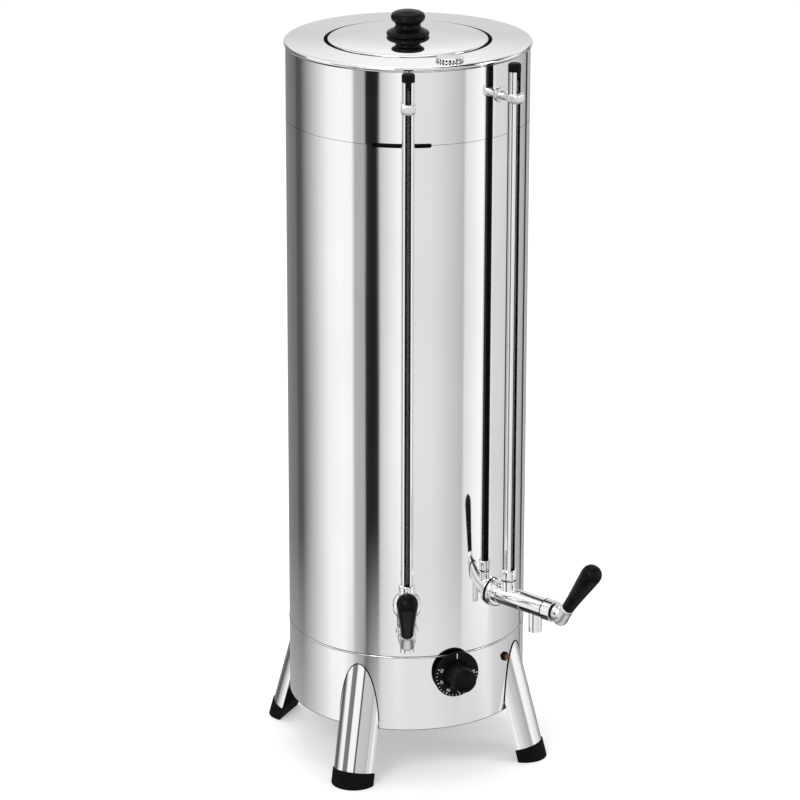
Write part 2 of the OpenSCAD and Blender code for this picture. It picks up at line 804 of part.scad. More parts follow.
module tap_body(az) {
    color("gainsboro") at(az) difference() {
        union() {
            translate([0, 0, tap_z]) {
                bar_x(shank_d, shank_end, gasket_x + over);
                bar_x(flange_d, gasket_x, gasket_x + flange_t);
                bar_x(barrel_d, gasket_x, barrel_x);
                bar_x(thread_d, barrel_x - over, barrel_x + thread_l);
            }
            translate([gauge_x, 0, 0]) {
                bar_z(socket_d, tap_z, nut_z);
                bar_z(nut_thread_d - 2 * fit, tap_z, nut_z + nut_thread_h);
            }
            translate([spout_x, 0, 0]) bar_z(spout_d, tap_z - spout_drop, tap_z);
        }
        translate([0, 0, tap_z]) {
            bar_x(waterway_d, shank_end - over, chamber_x + over);
            bar_x(plug_d + 2 * plug_gap, chamber_x, barrel_x + thread_l + over);
        }
        translate([gauge_x, 0, 0]) {
            bar_z(glass_d - 2 * glass_t, tap_z, glass_z + over);
            bar_z(glass_d + 2 * hole_gap, glass_z, nut_z + nut_thread_h + over);
        }
        translate([spout_x, 0, 0]) bar_z(waterway_d, tap_z - spout_drop - over, tap_z);
    }
}

module coffee_tap_body() { tap_body(-tap_az); }
module water_tap_body() { tap_body(tap_az); }

// Rubber rings between the tap flanges and the round jacket.
module tap_gaskets() {
    color("black") for (side = [-1, 1]) difference() {
        at(side * tap_az) translate([0, 0, tap_z]) difference() {
            bar_x(flange_d, body_r - 4, gasket_x);
            bar_x(shank_d + 2 * fit, body_r - 4 - over, gasket_x + over);
        }
        bar_z(body_d + 2 * fit, tap_z - flange_d, tap_z + flange_d, $fn = cope_fn);
    }
}

// Nuts inside the tank, shaped to its round wall.
module tap_locknuts() {
    color("goldenrod") for (side = [-1, 1]) intersection() {
        at(side * tap_az) translate([0, 0, tap_z])
            hex_x(locknut_af, shank_d + 2 * fit, tank_in - locknut_t, tank_in);
        bar_z(2 * (tank_in - fit), tap_z - locknut_af, tap_z + locknut_af, $fn = cope_fn);
    }
}

module bonnet_nut(az) {
    groove = 1;
    color("gainsboro") at(az) translate([0, 0, tap_z]) difference() {
        bar_x(bonnet_d, barrel_x + groove, barrel_x + bonnet_l);
        bar_x(thread_d + 2 * fit, barrel_x, barrel_x + thread_l + hole_gap);
        bar_x(stem_d + 2 * plug_gap, barrel_x, barrel_x + bonnet_l + over);
    }
}

module coffee_bonnet_nut() { bonnet_nut(-tap_az); }
module water_bonnet_nut() { bonnet_nut(tap_az); }

// The valve plug: its side port meets the spout after a quarter turn.
module valve_plug(az) {
    color("goldenrod") at(az) translate([0, 0, tap_z]) difference() {
        union() {
            bar_x(plug_d, chamber_x + hole_gap, barrel_x + thread_l - hole_gap);
            bar_x(stem_d, barrel_x, hub_x + stem_in - fit);
        }
        bar_x(port_d, chamber_x - over, spout_x + port_d / 2);
        translate([spout_x, 0, 0]) rotate([90, 0, 0]) cylinder(d = port_d, h = plug_d);
    }
}

module coffee_valve_plug() { valve_plug(-tap_az); }
module water_valve_plug() { valve_plug(tap_az); }

module stem_washer(az) {
    color("black") at(az) translate([0, 0, tap_z]) difference() {
        bar_x(hub_d + 2 * washer_lip, hub_x - washer_t, hub_x);
        bar_x(stem_d + 2 * fit, hub_x - washer_t - over, hub_x + over);
    }
}

module coffee_stem_washer() { stem_washer(-tap_az); }
module water_stem_washer() { stem_washer(tap_az); }

// Stands local Z along a lever, from the tap's axis.
module lever_frame(az) {
    at(az) translate([lever_x, 0, tap_z]) rotate([0, 90 - lever_tilt, 0]) children();
}

// The lever's hub, round knuckle, ferrule and tang, faced off where the hub meets its washer.
module lever(az) {
    color("gainsboro") difference() {
        union() {
            at(az) translate([0, 0, tap_z]) {
                bar_x(hub_d, hub_x - over, lever_x);
                translate([lever_x, knuckle_w / 2, 0]) rotate([90, 0, 0])
                    cylinder(r = knuckle_r, h = knuckle_w);
            }
            lever_frame(az) {
                translate([0, 0, -ferrule_tail]) sphere(d = ferrule_d + bend_swell);
                bar_z(ferrule_d, -ferrule_tail, ferrule_l);
                bar_z(tang_d, 0, ferrule_l + tang_l);
            }
        }
        at(az) translate([0, 0, tap_z]) {
            bar_x(stem_d + 2 * fit, hub_x - over, hub_x + stem_in);
            bar_x(4 * hub_d, hub_x - hub_d, hub_x);
        }
    }
}

module coffee_lever() { lever(-tap_az); }
module water_lever() { lever(tap_az); }

module lever_grip(az) {
    top = ferrule_l + grip_l;
    round_z = top - grip_d / 2;
    color("black") lever_frame(az) difference() {
        union() {
            translate([0, 0, ferrule_l])
                cylinder(d1 = grip_neck_d, d2 = grip_d, h = round_z - ferrule_l);
            translate([0, 0, round_z]) sphere(d = grip_d);
        }
        bar_z(tang_d + 2 * fit, 0, ferrule_l + tang_l + hole_gap);
    }
}

module coffee_lever_grip() { lever_grip(-tap_az); }
module water_lever_grip() { lever_grip(tap_az); }

module gauge_nut(az) {
    color("gainsboro") at(az) translate([gauge_x, 0, 0]) difference() {
        bar_z(gauge_nut_d, nut_z, nut_z + gauge_nut_h);
        bar_z(nut_thread_d, nut_z - over, nut_z + guard_seat - 1.2);
        bar_z(glass_d + 2 * hole_gap, nut_z, nut_z + gauge_nut_h + over);
        bar_z(guard_d + 2 * hole_gap, guard_z, nut_z + gauge_nut_h + over);
    }
}

module coffee_gauge_nut() { gauge_nut(-tap_az); }
module water_gauge_nut() { gauge_nut(tap_az); }

module gauge_seals() {
    color("black") for (side = [-1, 1]) at(side * tap_az) translate([gauge_x, 0, 0]) difference() {
        bar_z(nut_thread_d - 2 * fit, nut_z + nut_thread_h, nut_z + guard_seat - 1.2);
        bar_z(glass_d + 2 * fit, nut_z, nut_z + guard_seat);
    }
}

module gauge_glass(az) {
    color("azure") at(az) translate([gauge_x, 0, 0]) difference() {
        bar_z(glass_d, glass_z, glass_top);
        bar_z(glass_d - 2 * glass_t, glass_z - over, glass_top + over);
    }
}

module coffee_gauge_glass() { gauge_glass(-tap_az); }
module water_gauge_glass() { gauge_glass(tap_az); }

module gauge_guard(az) {
    color("gainsboro") at(az) translate([gauge_x, 0, 0]) difference() {
        bar_z(guard_d, guard_z, guard_top);
        bar_z(guard_d - 2 * guard_t, guard_z - over, guard_top + over);
        translate([0, -slit_w / 2, guard_z - over]) cube([guard_d, slit_w, guard_top - guard_z + 2 * over]);
    }
}

module coffee_gauge_guard() { gauge_guard(-tap_az); }
module water_gauge_guard() { gauge_guard(tap_az); }

module gauge_cap(az) {
    edge = 2.4;
    color("black") at(az) translate([gauge_x, 0, guard_top]) {
        rotate_extrude() union() {
            square([cap_d / 2, cap_h - edge]);
            square([cap_d / 2 - edge, cap_h]);
            translate([cap_d / 2 - edge, cap_h - edge]) circle(r = edge);
        }
        bar_z(guard_d - 2 * guard_t - 2 * fit, -cap_stub, over);
    }
}

module coffee_gauge_cap() { gauge_cap(-tap_az); }
module water_gauge_cap() { gauge_cap(tap_az); }

// The rod, eye and round-fronted head that steady the gauge's top.
module gauge_holder(az) {
    head_x = gauge_x + 3.5;
    color("gainsboro") at(az) translate([0, 0, holder_z]) difference() {
        union() {
            bar_x(holder_d, holder_in, gauge_x);
            bar_x(holder_d + 6, body_r + fit, body_r + 2);
            translate([gauge_x, 0, 0]) bar_z(holder_w, -holder_d / 2, holder_d / 2);
            translate([head_x, holder_w / 2, 0]) rotate([90, 0, 0]) cylinder(d = holder_h, h = holder_w);
        }
        translate([gauge_x, 0, 0]) bar_z(guard_d + 2 * fit, -holder_h, holder_h);
    }
}

module coffee_gauge_holder() { gauge_holder(-tap_az); }
module water_gauge_holder() { gauge_holder(tap_az); }

module holder_nuts() {
    nut_x = wall_r - holder_nut_gap;
    color("silver") for (side = [-1, 1]) at(side * tap_az) translate([0, 0, holder_z])
        hex_x(holder_nut_af, holder_d + 2 * fit, nut_x - holder_nut_t, nut_x);
}

base_band();
main_jacket();
upper_collar();
top_deck();
bottom_cover();
cover_screws();
water_tank();
coffee_vessel();
outlet_pipe();
heating_element();
element_nuts();
thermostat();
pilot_bezel();
pilot_lens();
terminal_block();
wiring();
cable_gland();
gland_nut();
leg_front_left();
leg_front_right();
leg_rear_left();
leg_rear_right();
foot_front_left();
foot_front_right();
foot_rear_left();
foot_rear_right();
leg_nuts();
filler_neck();
filler_plug();
lid();
lid_knob();
lid_knob_screw();
dial_knob();
dial_shaft();
coffee_tap_body();
water_tap_body();
tap_gaskets();
tap_locknuts();
coffee_bonnet_nut();
water_bonnet_nut();
coffee_valve_plug();
water_valve_plug();
coffee_stem_washer();
water_stem_washer();
coffee_lever();
water_lever();
coffee_lever_grip();
water_lever_grip();
coffee_gauge_nut();
water_gauge_nut();
gauge_seals();
coffee_gauge_glass();
water_gauge_glass();
coffee_gauge_guard();
water_gauge_guard();
coffee_gauge_cap();
water_gauge_cap();
coffee_gauge_holder();
water_gauge_holder();
holder_nuts();
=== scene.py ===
import json
import math

import bpy
import bmesh
from mathutils import Matrix, Vector


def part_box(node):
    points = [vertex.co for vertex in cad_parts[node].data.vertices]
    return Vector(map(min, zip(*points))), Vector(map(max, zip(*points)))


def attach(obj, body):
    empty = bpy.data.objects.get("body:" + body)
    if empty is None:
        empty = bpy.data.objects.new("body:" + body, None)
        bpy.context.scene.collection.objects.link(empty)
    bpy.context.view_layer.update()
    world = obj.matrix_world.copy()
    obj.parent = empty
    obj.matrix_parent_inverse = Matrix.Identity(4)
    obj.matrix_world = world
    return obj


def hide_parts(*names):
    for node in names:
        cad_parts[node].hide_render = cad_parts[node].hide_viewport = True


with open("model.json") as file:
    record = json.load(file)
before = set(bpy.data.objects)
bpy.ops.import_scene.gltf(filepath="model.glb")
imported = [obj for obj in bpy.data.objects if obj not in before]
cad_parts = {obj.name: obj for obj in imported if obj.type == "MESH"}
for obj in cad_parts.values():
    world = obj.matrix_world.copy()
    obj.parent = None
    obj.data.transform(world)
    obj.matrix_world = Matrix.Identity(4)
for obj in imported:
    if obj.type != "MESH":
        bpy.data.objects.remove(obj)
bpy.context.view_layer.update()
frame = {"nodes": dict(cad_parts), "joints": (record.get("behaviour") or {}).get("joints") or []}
nodes = frame["nodes"]
joints = {joint["name"]: joint for joint in frame["joints"]}


# Sizes in millimetres and angles in degrees

MM = 0.001
Y, Z = 1, 2


def reach(node, axis):
    """A node's lowest and highest coordinate along an axis."""
    return [round(corner[axis] / MM, 3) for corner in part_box(node)]


def joint_place(name):
    return [round(value / MM, 3) for value in joints[name]["pos_m"]]


# Flat faces and turning axes, as the frame gives them.
BAND_Z = reach("base_band", Z)[0]
SEAM_Z, VENT_Z = reach("main_jacket", Z)
DECK_Z = reach("top_deck", Z)[1]
LID_FOOT_Z, LID_TOP_Z = reach("lid", Z)
NUT_Z = reach("coffee_gauge_nut", Z)[0]
DIAL_Z = joint_place("dial_turn")[Z]
dial_front, dial_back = reach("dial_knob", Y)
DIAL_X = -dial_back
DIAL_TOP = dial_back - dial_front
tap_x, tap_y, TAP_Z = joint_place("water_lever_turn")
TAP_AZ = round(math.degrees(math.atan2(tap_x, -tap_y)), 2)
BARREL_X = round(math.hypot(tap_x, tap_y), 2)

# Sizes that repeat the part's source, or belong to the fuller forms made here.
BODY_R = 125.0
VENT_AZ = -26.3
VENT_HALF_ANGLE = 13.9
WELL_R = 86.0
TANK_R = 118.0
VESSEL_IN_R = 77.0
LID_R = 82.0
LID_RISE = 2.6
LID_CURVE = 4
LID_SHEET = 1.0
HUB_X = BARREL_X + 13.5
HUB_R = 9.4
LEVER_X = BARREL_X + 23.3
LEVER_TILT = 55.7
FERRULE_L = 10.6
LEVER_GRIP_L = 65.0
FLANGE_R = 15.0
GAUGE_X = 145.0
GUARD_R = 6.35
HOLDER_Z = 731.1
HOLDER_ROD_R = 4.5
DIAL_T = 3.0
DIAL_R = 24.75
DIAL_GRIP_FOOT_R = 15.5
DIAL_GRIP_FACE_R = 12.5
FILLER_POS = 104.0
FILLER_R = 14.25
LEG_AZ = 47.0
LEG_SPLAY = 15.3
LEG_W = 44.6
LEG_DEPTH = 18.2
LEG_OUT = 16.6

# The filler plug's cap, and the flutes in its edge and in the dial's.
CAP_Z = DECK_Z + 1.0
CAP_H = reach("filler_plug", Z)[1] - CAP_Z
CAP_STEM_L = 8.0
CAP_FLUTES = 24
CAP_FLUTE_DEPTH = 1.0
CAP_FLUTE_TOP = CAP_H - 0.9
DIAL_FLUTES = 18
DIAL_FLUTE_DEPTH = 0.45

# Names and bearings of what repeats round the body.
TAPS = (("coffee", -TAP_AZ), ("water", TAP_AZ))
LEGS = (("front_left", -LEG_AZ), ("front_right", 90 - LEG_AZ),
        ("rear_left", -90 - LEG_AZ), ("rear_right", 180 - LEG_AZ))


def move(x, y, z):
    return Matrix.Translation((x, y, z))


def turn(angle, axis):
    return Matrix.Rotation(math.radians(angle), 4, axis)


def at(bearing):
    """Turns local +X to the outward radius at a bearing from the front."""
    return turn(bearing - 90, "Z")


def tap_place(bearing):
    """Local Z runs out along the tap's axis."""
    return at(bearing) @ move(0, 0, TAP_Z) @ turn(90, "Y")


def lever_place(bearing):
    """Local Z runs along the lever, from the tap's axis."""
    return at(bearing) @ move(LEVER_X, 0, TAP_Z) @ turn(90 - LEVER_TILT, "Y")


def dial_place():
    """Local Z runs out of the dial's face, local X is down and local Y to the right."""
    return at(0) @ move(DIAL_X, 0, DIAL_Z) @ turn(90, "Y")


# Shader nodes

finishes = {}


def new_material(name):
    """A new material, which finishes then holds under its name."""
    material = bpy.data.materials.new(name)
    material.use_nodes = True
    finishes[name] = material
    tree = material.node_tree
    return material, tree, tree.nodes["Principled BSDF"]


def link(tree, source, target):
    tree.links.new(source, target)


def ramp(tree, stops, factor):
    """A ramp through stops of (position, grey level or colour)."""
    node = tree.nodes.new("ShaderNodeValToRGB")
    elements = node.color_ramp.elements
    while len(elements) < len(stops):
        elements.new(1.0)
    for element, (position, level) in zip(elements, stops):
        element.position = position
        colour = level if isinstance(level, tuple) else (level, level, level)
        element.color = (*colour, 1)
    link(tree, factor, node.inputs["Fac"])
    return node.outputs["Color"]


def maths(tree, operation, first, second=None):
    """A math node on numbers or sockets."""
    node = tree.nodes.new("ShaderNodeMath")
    node.operation = operation
    for socket, value in zip(node.inputs, (first, second)):
        if value is None:
            continue
        if isinstance(value, (int, float)):
            socket.default_value = value
        else:
            link(tree, value, socket)
    return node.outputs[0]


def inverse(tree, value):
    return maths(tree, "SUBTRACT", 1, value)


def mix_colour(tree, factor, first, second, blend="MIX"):
    """A mix of two colours, given as numbers, tuples or sockets."""
    node = tree.nodes.new("ShaderNodeMix")
    node.data_type = "RGBA"
    node.blend_type = blend
    for socket, value in zip((node.inputs[0], *node.inputs[6:8]), (factor, first, second)):
        if isinstance(value, (int, float)):
            socket.default_value = value
        elif isinstance(value, tuple):
            socket.default_value = (*value, 1)
        else:
            link(tree, value, socket)
    return node.outputs[2]


# Camera and stage, in metres

CAMERA_BEARING = -23.6
CAMERA_DISTANCE = 3.7
CAMERA_HEIGHT = 1.6202
CAMERA_PITCH = 18.5267
CAMERA_YAW = -0.11323
CAMERA_ROLL = 0.11757
CAMERA_LENS = 167.126
CAMERA_SENSOR = 36
CAMERA_CLIP = (0.05, 100)

FLOOR_R = 30
FLOOR_DROP = 0.0002
FLOOR_GREY = 0.92
FLOOR_GLOW = 0.27
WHITE = (1, 1, 1)
AMBIENT = (0.74, 0.74, 0.74)

# Softboxes, with their places, their sizes and their power in watts.
LAMPS = (
    ("key_softbox", (-2.3, -1.9, 2.6), (1.2, 1.2), 30),
    ("fill_softbox", (2.4, -1.6, 2.0), (0.9, 1.5), 12),
    ("top_softbox", (0.2, 0.6, 3.0), (1.6, 1.6), 16))
LAMP_AIM = Vector((0, 0, 0.4))


def around(*stops):
    """Ramp stops from bearings in degrees, measured from the camera's side."""
    return [(angle / 360 + 0.5, level) for angle, level in stops]


# What the polished steel mirrors: brightness by bearing, in bands from the floor to overhead.
FLOOR_STUDIO = around(
    (-180, 0.5), (-138, 0.44), (-122, 0.44), (-106, 0.58), (-88, 0.82), (-78, 1.0), (-64, 1.04),
    (-56, 0.7), (-46, 0.42), (-40, 0.22), (-35, 0.42), (-28, 0.62), (-22, 0.77), (-10, 0.84), (20, 0.84),
    (47, 0.76), (74, 0.72), (90, 0.84), (98, 0.66), (140, 0.45), (180, 0.5))
LOW_STUDIO = around(
    (-180, 0.3), (-160, 0.24), (-134, 0.17), (-129, 0.09), (-121, 0.1), (-110, 0.34), (-94, 0.68),
    (-80, 0.96), (-66, 1.04), (-54, 1.0), (-51, 0.47), (-41, 0.44), (-39.8, 0.03), (-36, 0.015),
    (-29, 0.02), (-27.2, 0.03), (-25.6, 0.6), (-22, 0.72), (-8, 1.02), (0, 0.82), (24, 0.8), (54.6, 0.53),
    (56.4, 0.8), (74, 1.05), (84, 1.02), (90, 0.74), (104, 0.72), (146, 0.42), (148, 0.02), (152, 0.02),
    (154.5, 0.5), (180, 0.3))
LEVEL_STUDIO = around(
    (-180, 0.7), (-158, 0.7), (-150, 0.3), (-128, 0.16), (-108, 0.2), (-104, 1.02), (-76, 1.02),
    (-72, 0.22), (-48, 0.2), (-44, 1.02), (-14, 1.02), (-10, 0.05), (-6, 0.05), (-2, 0.62), (40, 0.58),
    (62, 0.42), (66, 0.5), (72, 1.02), (118, 1.02), (126, 0.4), (148, 0.2), (158, 0.7), (180, 0.7))
HIGH_STUDIO = around(
    (-180, 1.0), (-120, 0.7), (-60, 1.0), (0, 0.9), (50, 1.0), (60, 0.06), (98, 0.05), (108, 0.74),
    (180, 1.0))
OVERHEAD_STUDIO = around(
    (-180, 0.4), (-120, 1.0), (28, 1.02), (34, 0.4), (52, 0.25), (58, 0.04), (128, 0.04), (138, 0.8),
    (150, 0.8), (180, 0.4))
# The share of each band over the low one, by height from 0, straight down, to 1, straight up.
STUDIO_BANDS = (
    (FLOOR_STUDIO, [(0.3, 1.0), (0.324, 0.0)]),
    (LEVEL_STUDIO, [(0.42, 0.0), (0.46, 1.0)]),
    (HIGH_STUDIO, [(0.6, 0.0), (0.68, 1.0)]),
    (OVERHEAD_STUDIO, [(0.735, 0.0), (0.75, 1.0)]))
# How much of that is left by height.
HEIGHT_GAIN = [
    (0.0, 1.0), (0.06, 1.0), (0.09, 0.1), (0.17, 0.1), (0.22, 0.6), (0.27, 1.0), (0.91, 1.0), (0.93, 0.5),
    (1.0, 0.5)]
# A grey card low on the right, that only the legs mirror.
CARD_SIDE = around((58, 0.0), (64, 1.0), (100, 1.0), (108, 0.0))
CARD_HEIGHT = [(0.386, 0.0), (0.394, 1.0), (0.455, 1.0), (0.468, 0.0)]
CARD_COLOUR = (0.68, 0.68, 0.675)


def add_camera():
    data = bpy.data.cameras.new("camera")
    data.sensor_width = CAMERA_SENSOR
    data.lens = CAMERA_LENS
    data.clip_start, data.clip_end = CAMERA_CLIP
    camera = bpy.data.objects.new("camera", data)
    bpy.context.scene.collection.objects.link(camera)
    place = turn(CAMERA_BEARING, "Z") @ move(0, -CAMERA_DISTANCE, CAMERA_HEIGHT)
    aim = turn(-CAMERA_YAW, "Z") @ turn(90 - CAMERA_PITCH, "X") @ turn(CAMERA_ROLL, "Z")
    camera.matrix_world = place @ aim
    bpy.context.scene.camera = camera


def studio(tree):
    """The colour that a mirror sees in each direction."""
    coords = tree.nodes.new("ShaderNodeTexCoord")
    turned = tree.nodes.new("ShaderNodeVectorRotate")
    turned.rotation_type = "Z_AXIS"
    turned.inputs["Angle"].default_value = math.radians(-CAMERA_BEARING)
    link(tree, coords.outputs["Generated"], turned.inputs["Vector"])
    parts = tree.nodes.new("ShaderNodeSeparateXYZ")
    link(tree, turned.outputs[0], parts.inputs[0])
    x, y, z = parts.outputs
    bearing = maths(tree, "ARCTAN2", x, maths(tree, "MULTIPLY", y, -1))
    bearing = maths(tree, "ADD", maths(tree, "DIVIDE", bearing, 2 * math.pi), 0.5)
    height = maths(tree, "ADD", maths(tree, "MULTIPLY", z, 0.5), 0.5)
    shade = ramp(tree, LOW_STUDIO, bearing)
    for band, share in STUDIO_BANDS:
        shade = mix_colour(tree, ramp(tree, share, height), shade, ramp(tree, band, bearing))
    card = maths(tree, "MULTIPLY", ramp(tree, CARD_SIDE, bearing), ramp(tree, CARD_HEIGHT, height))
    shade = mix_colour(tree, card, shade, CARD_COLOUR)
    return mix_colour(tree, 1.0, shade, ramp(tree, HEIGHT_GAIN, height), "MULTIPLY")


def add_world():
    """White to the camera, the studio to mirrors and an even grey to the rest."""
    world = bpy.data.worlds.new("studio")
    bpy.context.scene.world = world
    world.use_nodes = True
    tree = world.node_tree
    tree.nodes.clear()
    path = tree.nodes.new("ShaderNodeLightPath")
    shade = mix_colour(tree, path.outputs["Is Glossy Ray"], AMBIENT, studio(tree))
    seen = maths(tree, "MAXIMUM", path.outputs["Is Camera Ray"], path.outputs["Is Transmission Ray"])
    shade = mix_colour(tree, seen, shade, WHITE)
    background = tree.nodes.new("ShaderNodeBackground")
    background.inputs["Strength"].default_value = 1
    link(tree, shade, background.inputs["Color"])
    output = tree.nodes.new("ShaderNodeOutputWorld")
    link(tree, background.outputs[0], output.inputs["Surface"])


def add_floor():
    mesh = bpy.data.meshes.new("floor")
    shape = bmesh.new()
    bmesh.ops.create_circle(shape, cap_ends=True, radius=FLOOR_R, segments=96)
    shape.to_mesh(mesh)
    shape.free()
    floor = bpy.data.objects.new("floor", mesh)
    floor.location.z = -FLOOR_DROP
    floor.visible_glossy = False
    bpy.context.scene.collection.objects.link(floor)
    material, tree, shader = new_material("pale_floor")
    shader.inputs["Base Color"].default_value = (FLOOR_GREY, FLOOR_GREY, FLOOR_GREY, 1)
    shader.inputs["Roughness"].default_value = 0.9
    shader.inputs["Specular IOR Level"].default_value = 0.1
    shader.inputs["Emission Color"].default_value = (*WHITE, 1)
    path = tree.nodes.new("ShaderNodeLightPath")
    glow = maths(tree, "MULTIPLY", path.outputs["Is Camera Ray"], FLOOR_GLOW)
    link(tree, glow, shader.inputs["Emission Strength"])
    mesh.materials.append(material)


def add_lamp(name, place, size, power):
    data = bpy.data.lights.new(name, "AREA")
    data.shape = "RECTANGLE"
    data.size, data.size_y = size
    data.energy = power
    lamp = bpy.data.objects.new(name, data)
    lamp.location = place
    lamp.rotation_mode = "QUATERNION"
    lamp.rotation_quaternion = (LAMP_AIM - Vector(place)).to_track_quat("-Z", "Y")
    bpy.context.scene.collection.objects.link(lamp)


add_camera()
add_world()
add_floor()
for lamp_row in LAMPS:
    add_lamp(*lamp_row)
bpy.context.scene.view_settings.view_transform = "Standard"


# Materials, with their bumps and soft edges in metres

# Colours as pairs of dark and light, which a material drifts between.
STEEL = ((0.86, 0.865, 0.87), (0.93, 0.93, 0.93))
INNER_STEEL = ((0.6, 0.605, 0.61), (0.72, 0.72, 0.72))
ZINC = ((0.5, 0.5, 0.5), (0.66, 0.66, 0.65))
CHROME = ((0.88, 0.885, 0.89), (0.95, 0.95, 0.95))
BRASS = ((0.56, 0.39, 0.16), (0.72, 0.52, 0.24))
BLACK = ((0.003, 0.003, 0.003), (0.007, 0.007, 0.007))
BLACK_RUBBER = ((0.003, 0.003, 0.003), (0.007, 0.007, 0.0065))
CLEAR = ((0.56, 0.58, 0.58), (0.66, 0.68, 0.68))
AMBER = ((0.16, 0.03, 0.008), (0.26, 0.06, 0.016))
IVORY = ((0.55, 0.54, 0.5), (0.68, 0.67, 0.63))
RED = ((0.3, 0.03, 0.025), (0.42, 0.06, 0.05))
SLATE = ((0.1, 0.11, 0.12), (0.16, 0.17, 0.18))
PRINT = ((0.8, 0.8, 0.78), (0.92, 0.92, 0.9))

# Roughness as pairs of least and most.
MIRROR = (0.03, 0.06)
MACHINED = (0.2, 0.34)
MOULDED = (0.4, 0.55)

# Grains as noise scales in each direction, and the depth that they are bumped by.
SHEET_GRAIN = (40, 40, 900)
CAST_GRAIN = (300, 300, 300)
METAL_DRIFT = (9, 9, 5)
METAL_WAVES = (7, 7, 2.5)
PLASTIC_DRIFT = (60, 60, 60)
STEEL_DEPTH = 0.000004
CHROME_DEPTH = 0.0000004
SMALL_EDGE = 0.0003


def place_on(tree, scale):
    """Object coordinates stretched by a scale in each direction."""
    coords = tree.nodes.new("ShaderNodeTexCoord")
    mapping = tree.nodes.new("ShaderNodeMapping")
    mapping.inputs["Scale"].default_value = scale
    link(tree, coords.outputs["Object"], mapping.inputs["Vector"])
    return mapping.outputs[0]


def noise(tree, scale, detail=3.0, rough=0.5):
    node = tree.nodes.new("ShaderNodeTexNoise")
    node.inputs["Scale"].default_value = 1.0
    node.inputs["Detail"].default_value = detail
    node.inputs["Roughness"].default_value = rough
    link(tree, place_on(tree, scale), node.inputs["Vector"])
    return node.outputs["Fac"]


def levels(tree, factor, low, high, start=0.35, end=0.65):
    """Maps the range from start to end, which for a noise is its usual one, to that from low to high."""
    node = tree.nodes.new("ShaderNodeMapRange")
    node.inputs["From Min"].default_value = start
    node.inputs["From Max"].default_value = end
    node.inputs["To Min"].default_value = low
    node.inputs["To Max"].default_value = high
    link(tree, factor, node.inputs["Value"])
    return node.outputs["Result"]


def tint(tree, factor, dark, light):
    return ramp(tree, [(0.3, dark), (0.7, light)], factor)


def bump(tree, height, distance, strength=1.0, below=None):
    node = tree.nodes.new("ShaderNodeBump")
    node.inputs["Strength"].default_value = strength
    node.inputs["Distance"].default_value = distance
    link(tree, height, node.inputs["Height"])
    if below is not None:
        link(tree, below, node.inputs["Normal"])
    return node.outputs[0]


def rounded(tree, radius):
    """Normals that soften the sharp edges of a solid."""
    node = tree.nodes.new("ShaderNodeBevel")
    node.samples = 4
    node.inputs["Radius"].default_value = radius
    return node.outputs[0]


def metal(name, colours, rough, grain, wave=0.0, edge=0.0, depth=STEEL_DEPTH):
    """A metal whose colour and roughness drift along its polishing grain."""
    material, tree, shader = new_material(name)
    shader.inputs["Metallic"].default_value = 1.0
    drift = noise(tree, METAL_DRIFT, 4)
    lines = noise(tree, grain, 4, 0.65)
    link(tree, tint(tree, drift, *colours), shader.inputs["Base Color"])
    both = maths(tree, "ADD", maths(tree, "MULTIPLY", drift, 0.5), maths(tree, "MULTIPLY", lines, 0.5))
    link(tree, levels(tree, both, *rough), shader.inputs["Roughness"])
    normal = rounded(tree, edge) if edge else None
    if wave:
        normal = bump(tree, noise(tree, METAL_WAVES, 2), wave, 1.0, normal)
    link(tree, bump(tree, lines, depth, 0.6, normal), shader.inputs["Normal"])
    return material


def plastic(name, colours, rough, pits=900, depth=0.00004, specular=0.5, edge=0.0):
    """A moulded plastic, rubber or paint with a fine mottled surface."""
    material, tree, shader = new_material(name)
    shader.inputs["Specular IOR Level"].default_value = specular
    drift = noise(tree, PLASTIC_DRIFT, 4)
    fine = noise(tree, (pits, pits, pits), 3, 0.6)
    link(tree, tint(tree, drift, *colours), shader.inputs["Base Color"])
    link(tree, levels(tree, drift, *rough), shader.inputs["Roughness"])
    normal = rounded(tree, edge) if edge else None
    link(tree, bump(tree, fine, depth, 0.5, normal), shader.inputs["Normal"])


def glass(name):
    """Clear glass with faint smears along its length."""
    _, tree, shader = new_material(name)
    shader.inputs["Transmission Weight"].default_value = 1.0
    shader.inputs["IOR"].default_value = 1.47
    shader.inputs["Roughness"].default_value = 0.01
    smear = noise(tree, (90, 90, 12), 3)
    link(tree, tint(tree, smear, *CLEAR), shader.inputs["Base Color"])


def lens(name):
    """A cloudy amber lens."""
    _, tree, shader = new_material(name)
    shader.inputs["Transmission Weight"].default_value = 0.3
    shader.inputs["IOR"].default_value = 1.49
    cloud = noise(tree, (260, 260, 260), 2)
    link(tree, tint(tree, cloud, *AMBER), shader.inputs["Base Color"])
    link(tree, levels(tree, cloud, 0.2, 0.35), shader.inputs["Roughness"])


metal("polished_steel", STEEL, MIRROR, SHEET_GRAIN, wave=0.00035)
metal("leg_steel", STEEL, (0.06, 0.11), (60, 60, 500), wave=0.00005)
metal("inner_steel", INNER_STEEL, (0.22, 0.34), (60, 60, 1200))
metal("fasteners", ZINC, MACHINED, (400, 400, 400), edge=SMALL_EDGE)
metal("chrome", CHROME, MIRROR, CAST_GRAIN, depth=CHROME_DEPTH)
metal("satin_chrome", CHROME, (0.34, 0.4), CAST_GRAIN, depth=CHROME_DEPTH)
metal("brass", BRASS, MACHINED, CAST_GRAIN, edge=SMALL_EDGE)
plastic("black_phenolic", BLACK, (0.22, 0.32), depth=0.00003, specular=0.09)
plastic("black_nylon", BLACK, (0.4, 0.52), pits=1200, specular=0.08, edge=SMALL_EDGE)
plastic("rubber", BLACK_RUBBER, (0.55, 0.7), pits=1500, depth=0.00006, specular=0.06, edge=0.0006)
glass("gauge_glass")
lens("amber_lens")
plastic("terminal_nylon", IVORY, MOULDED)
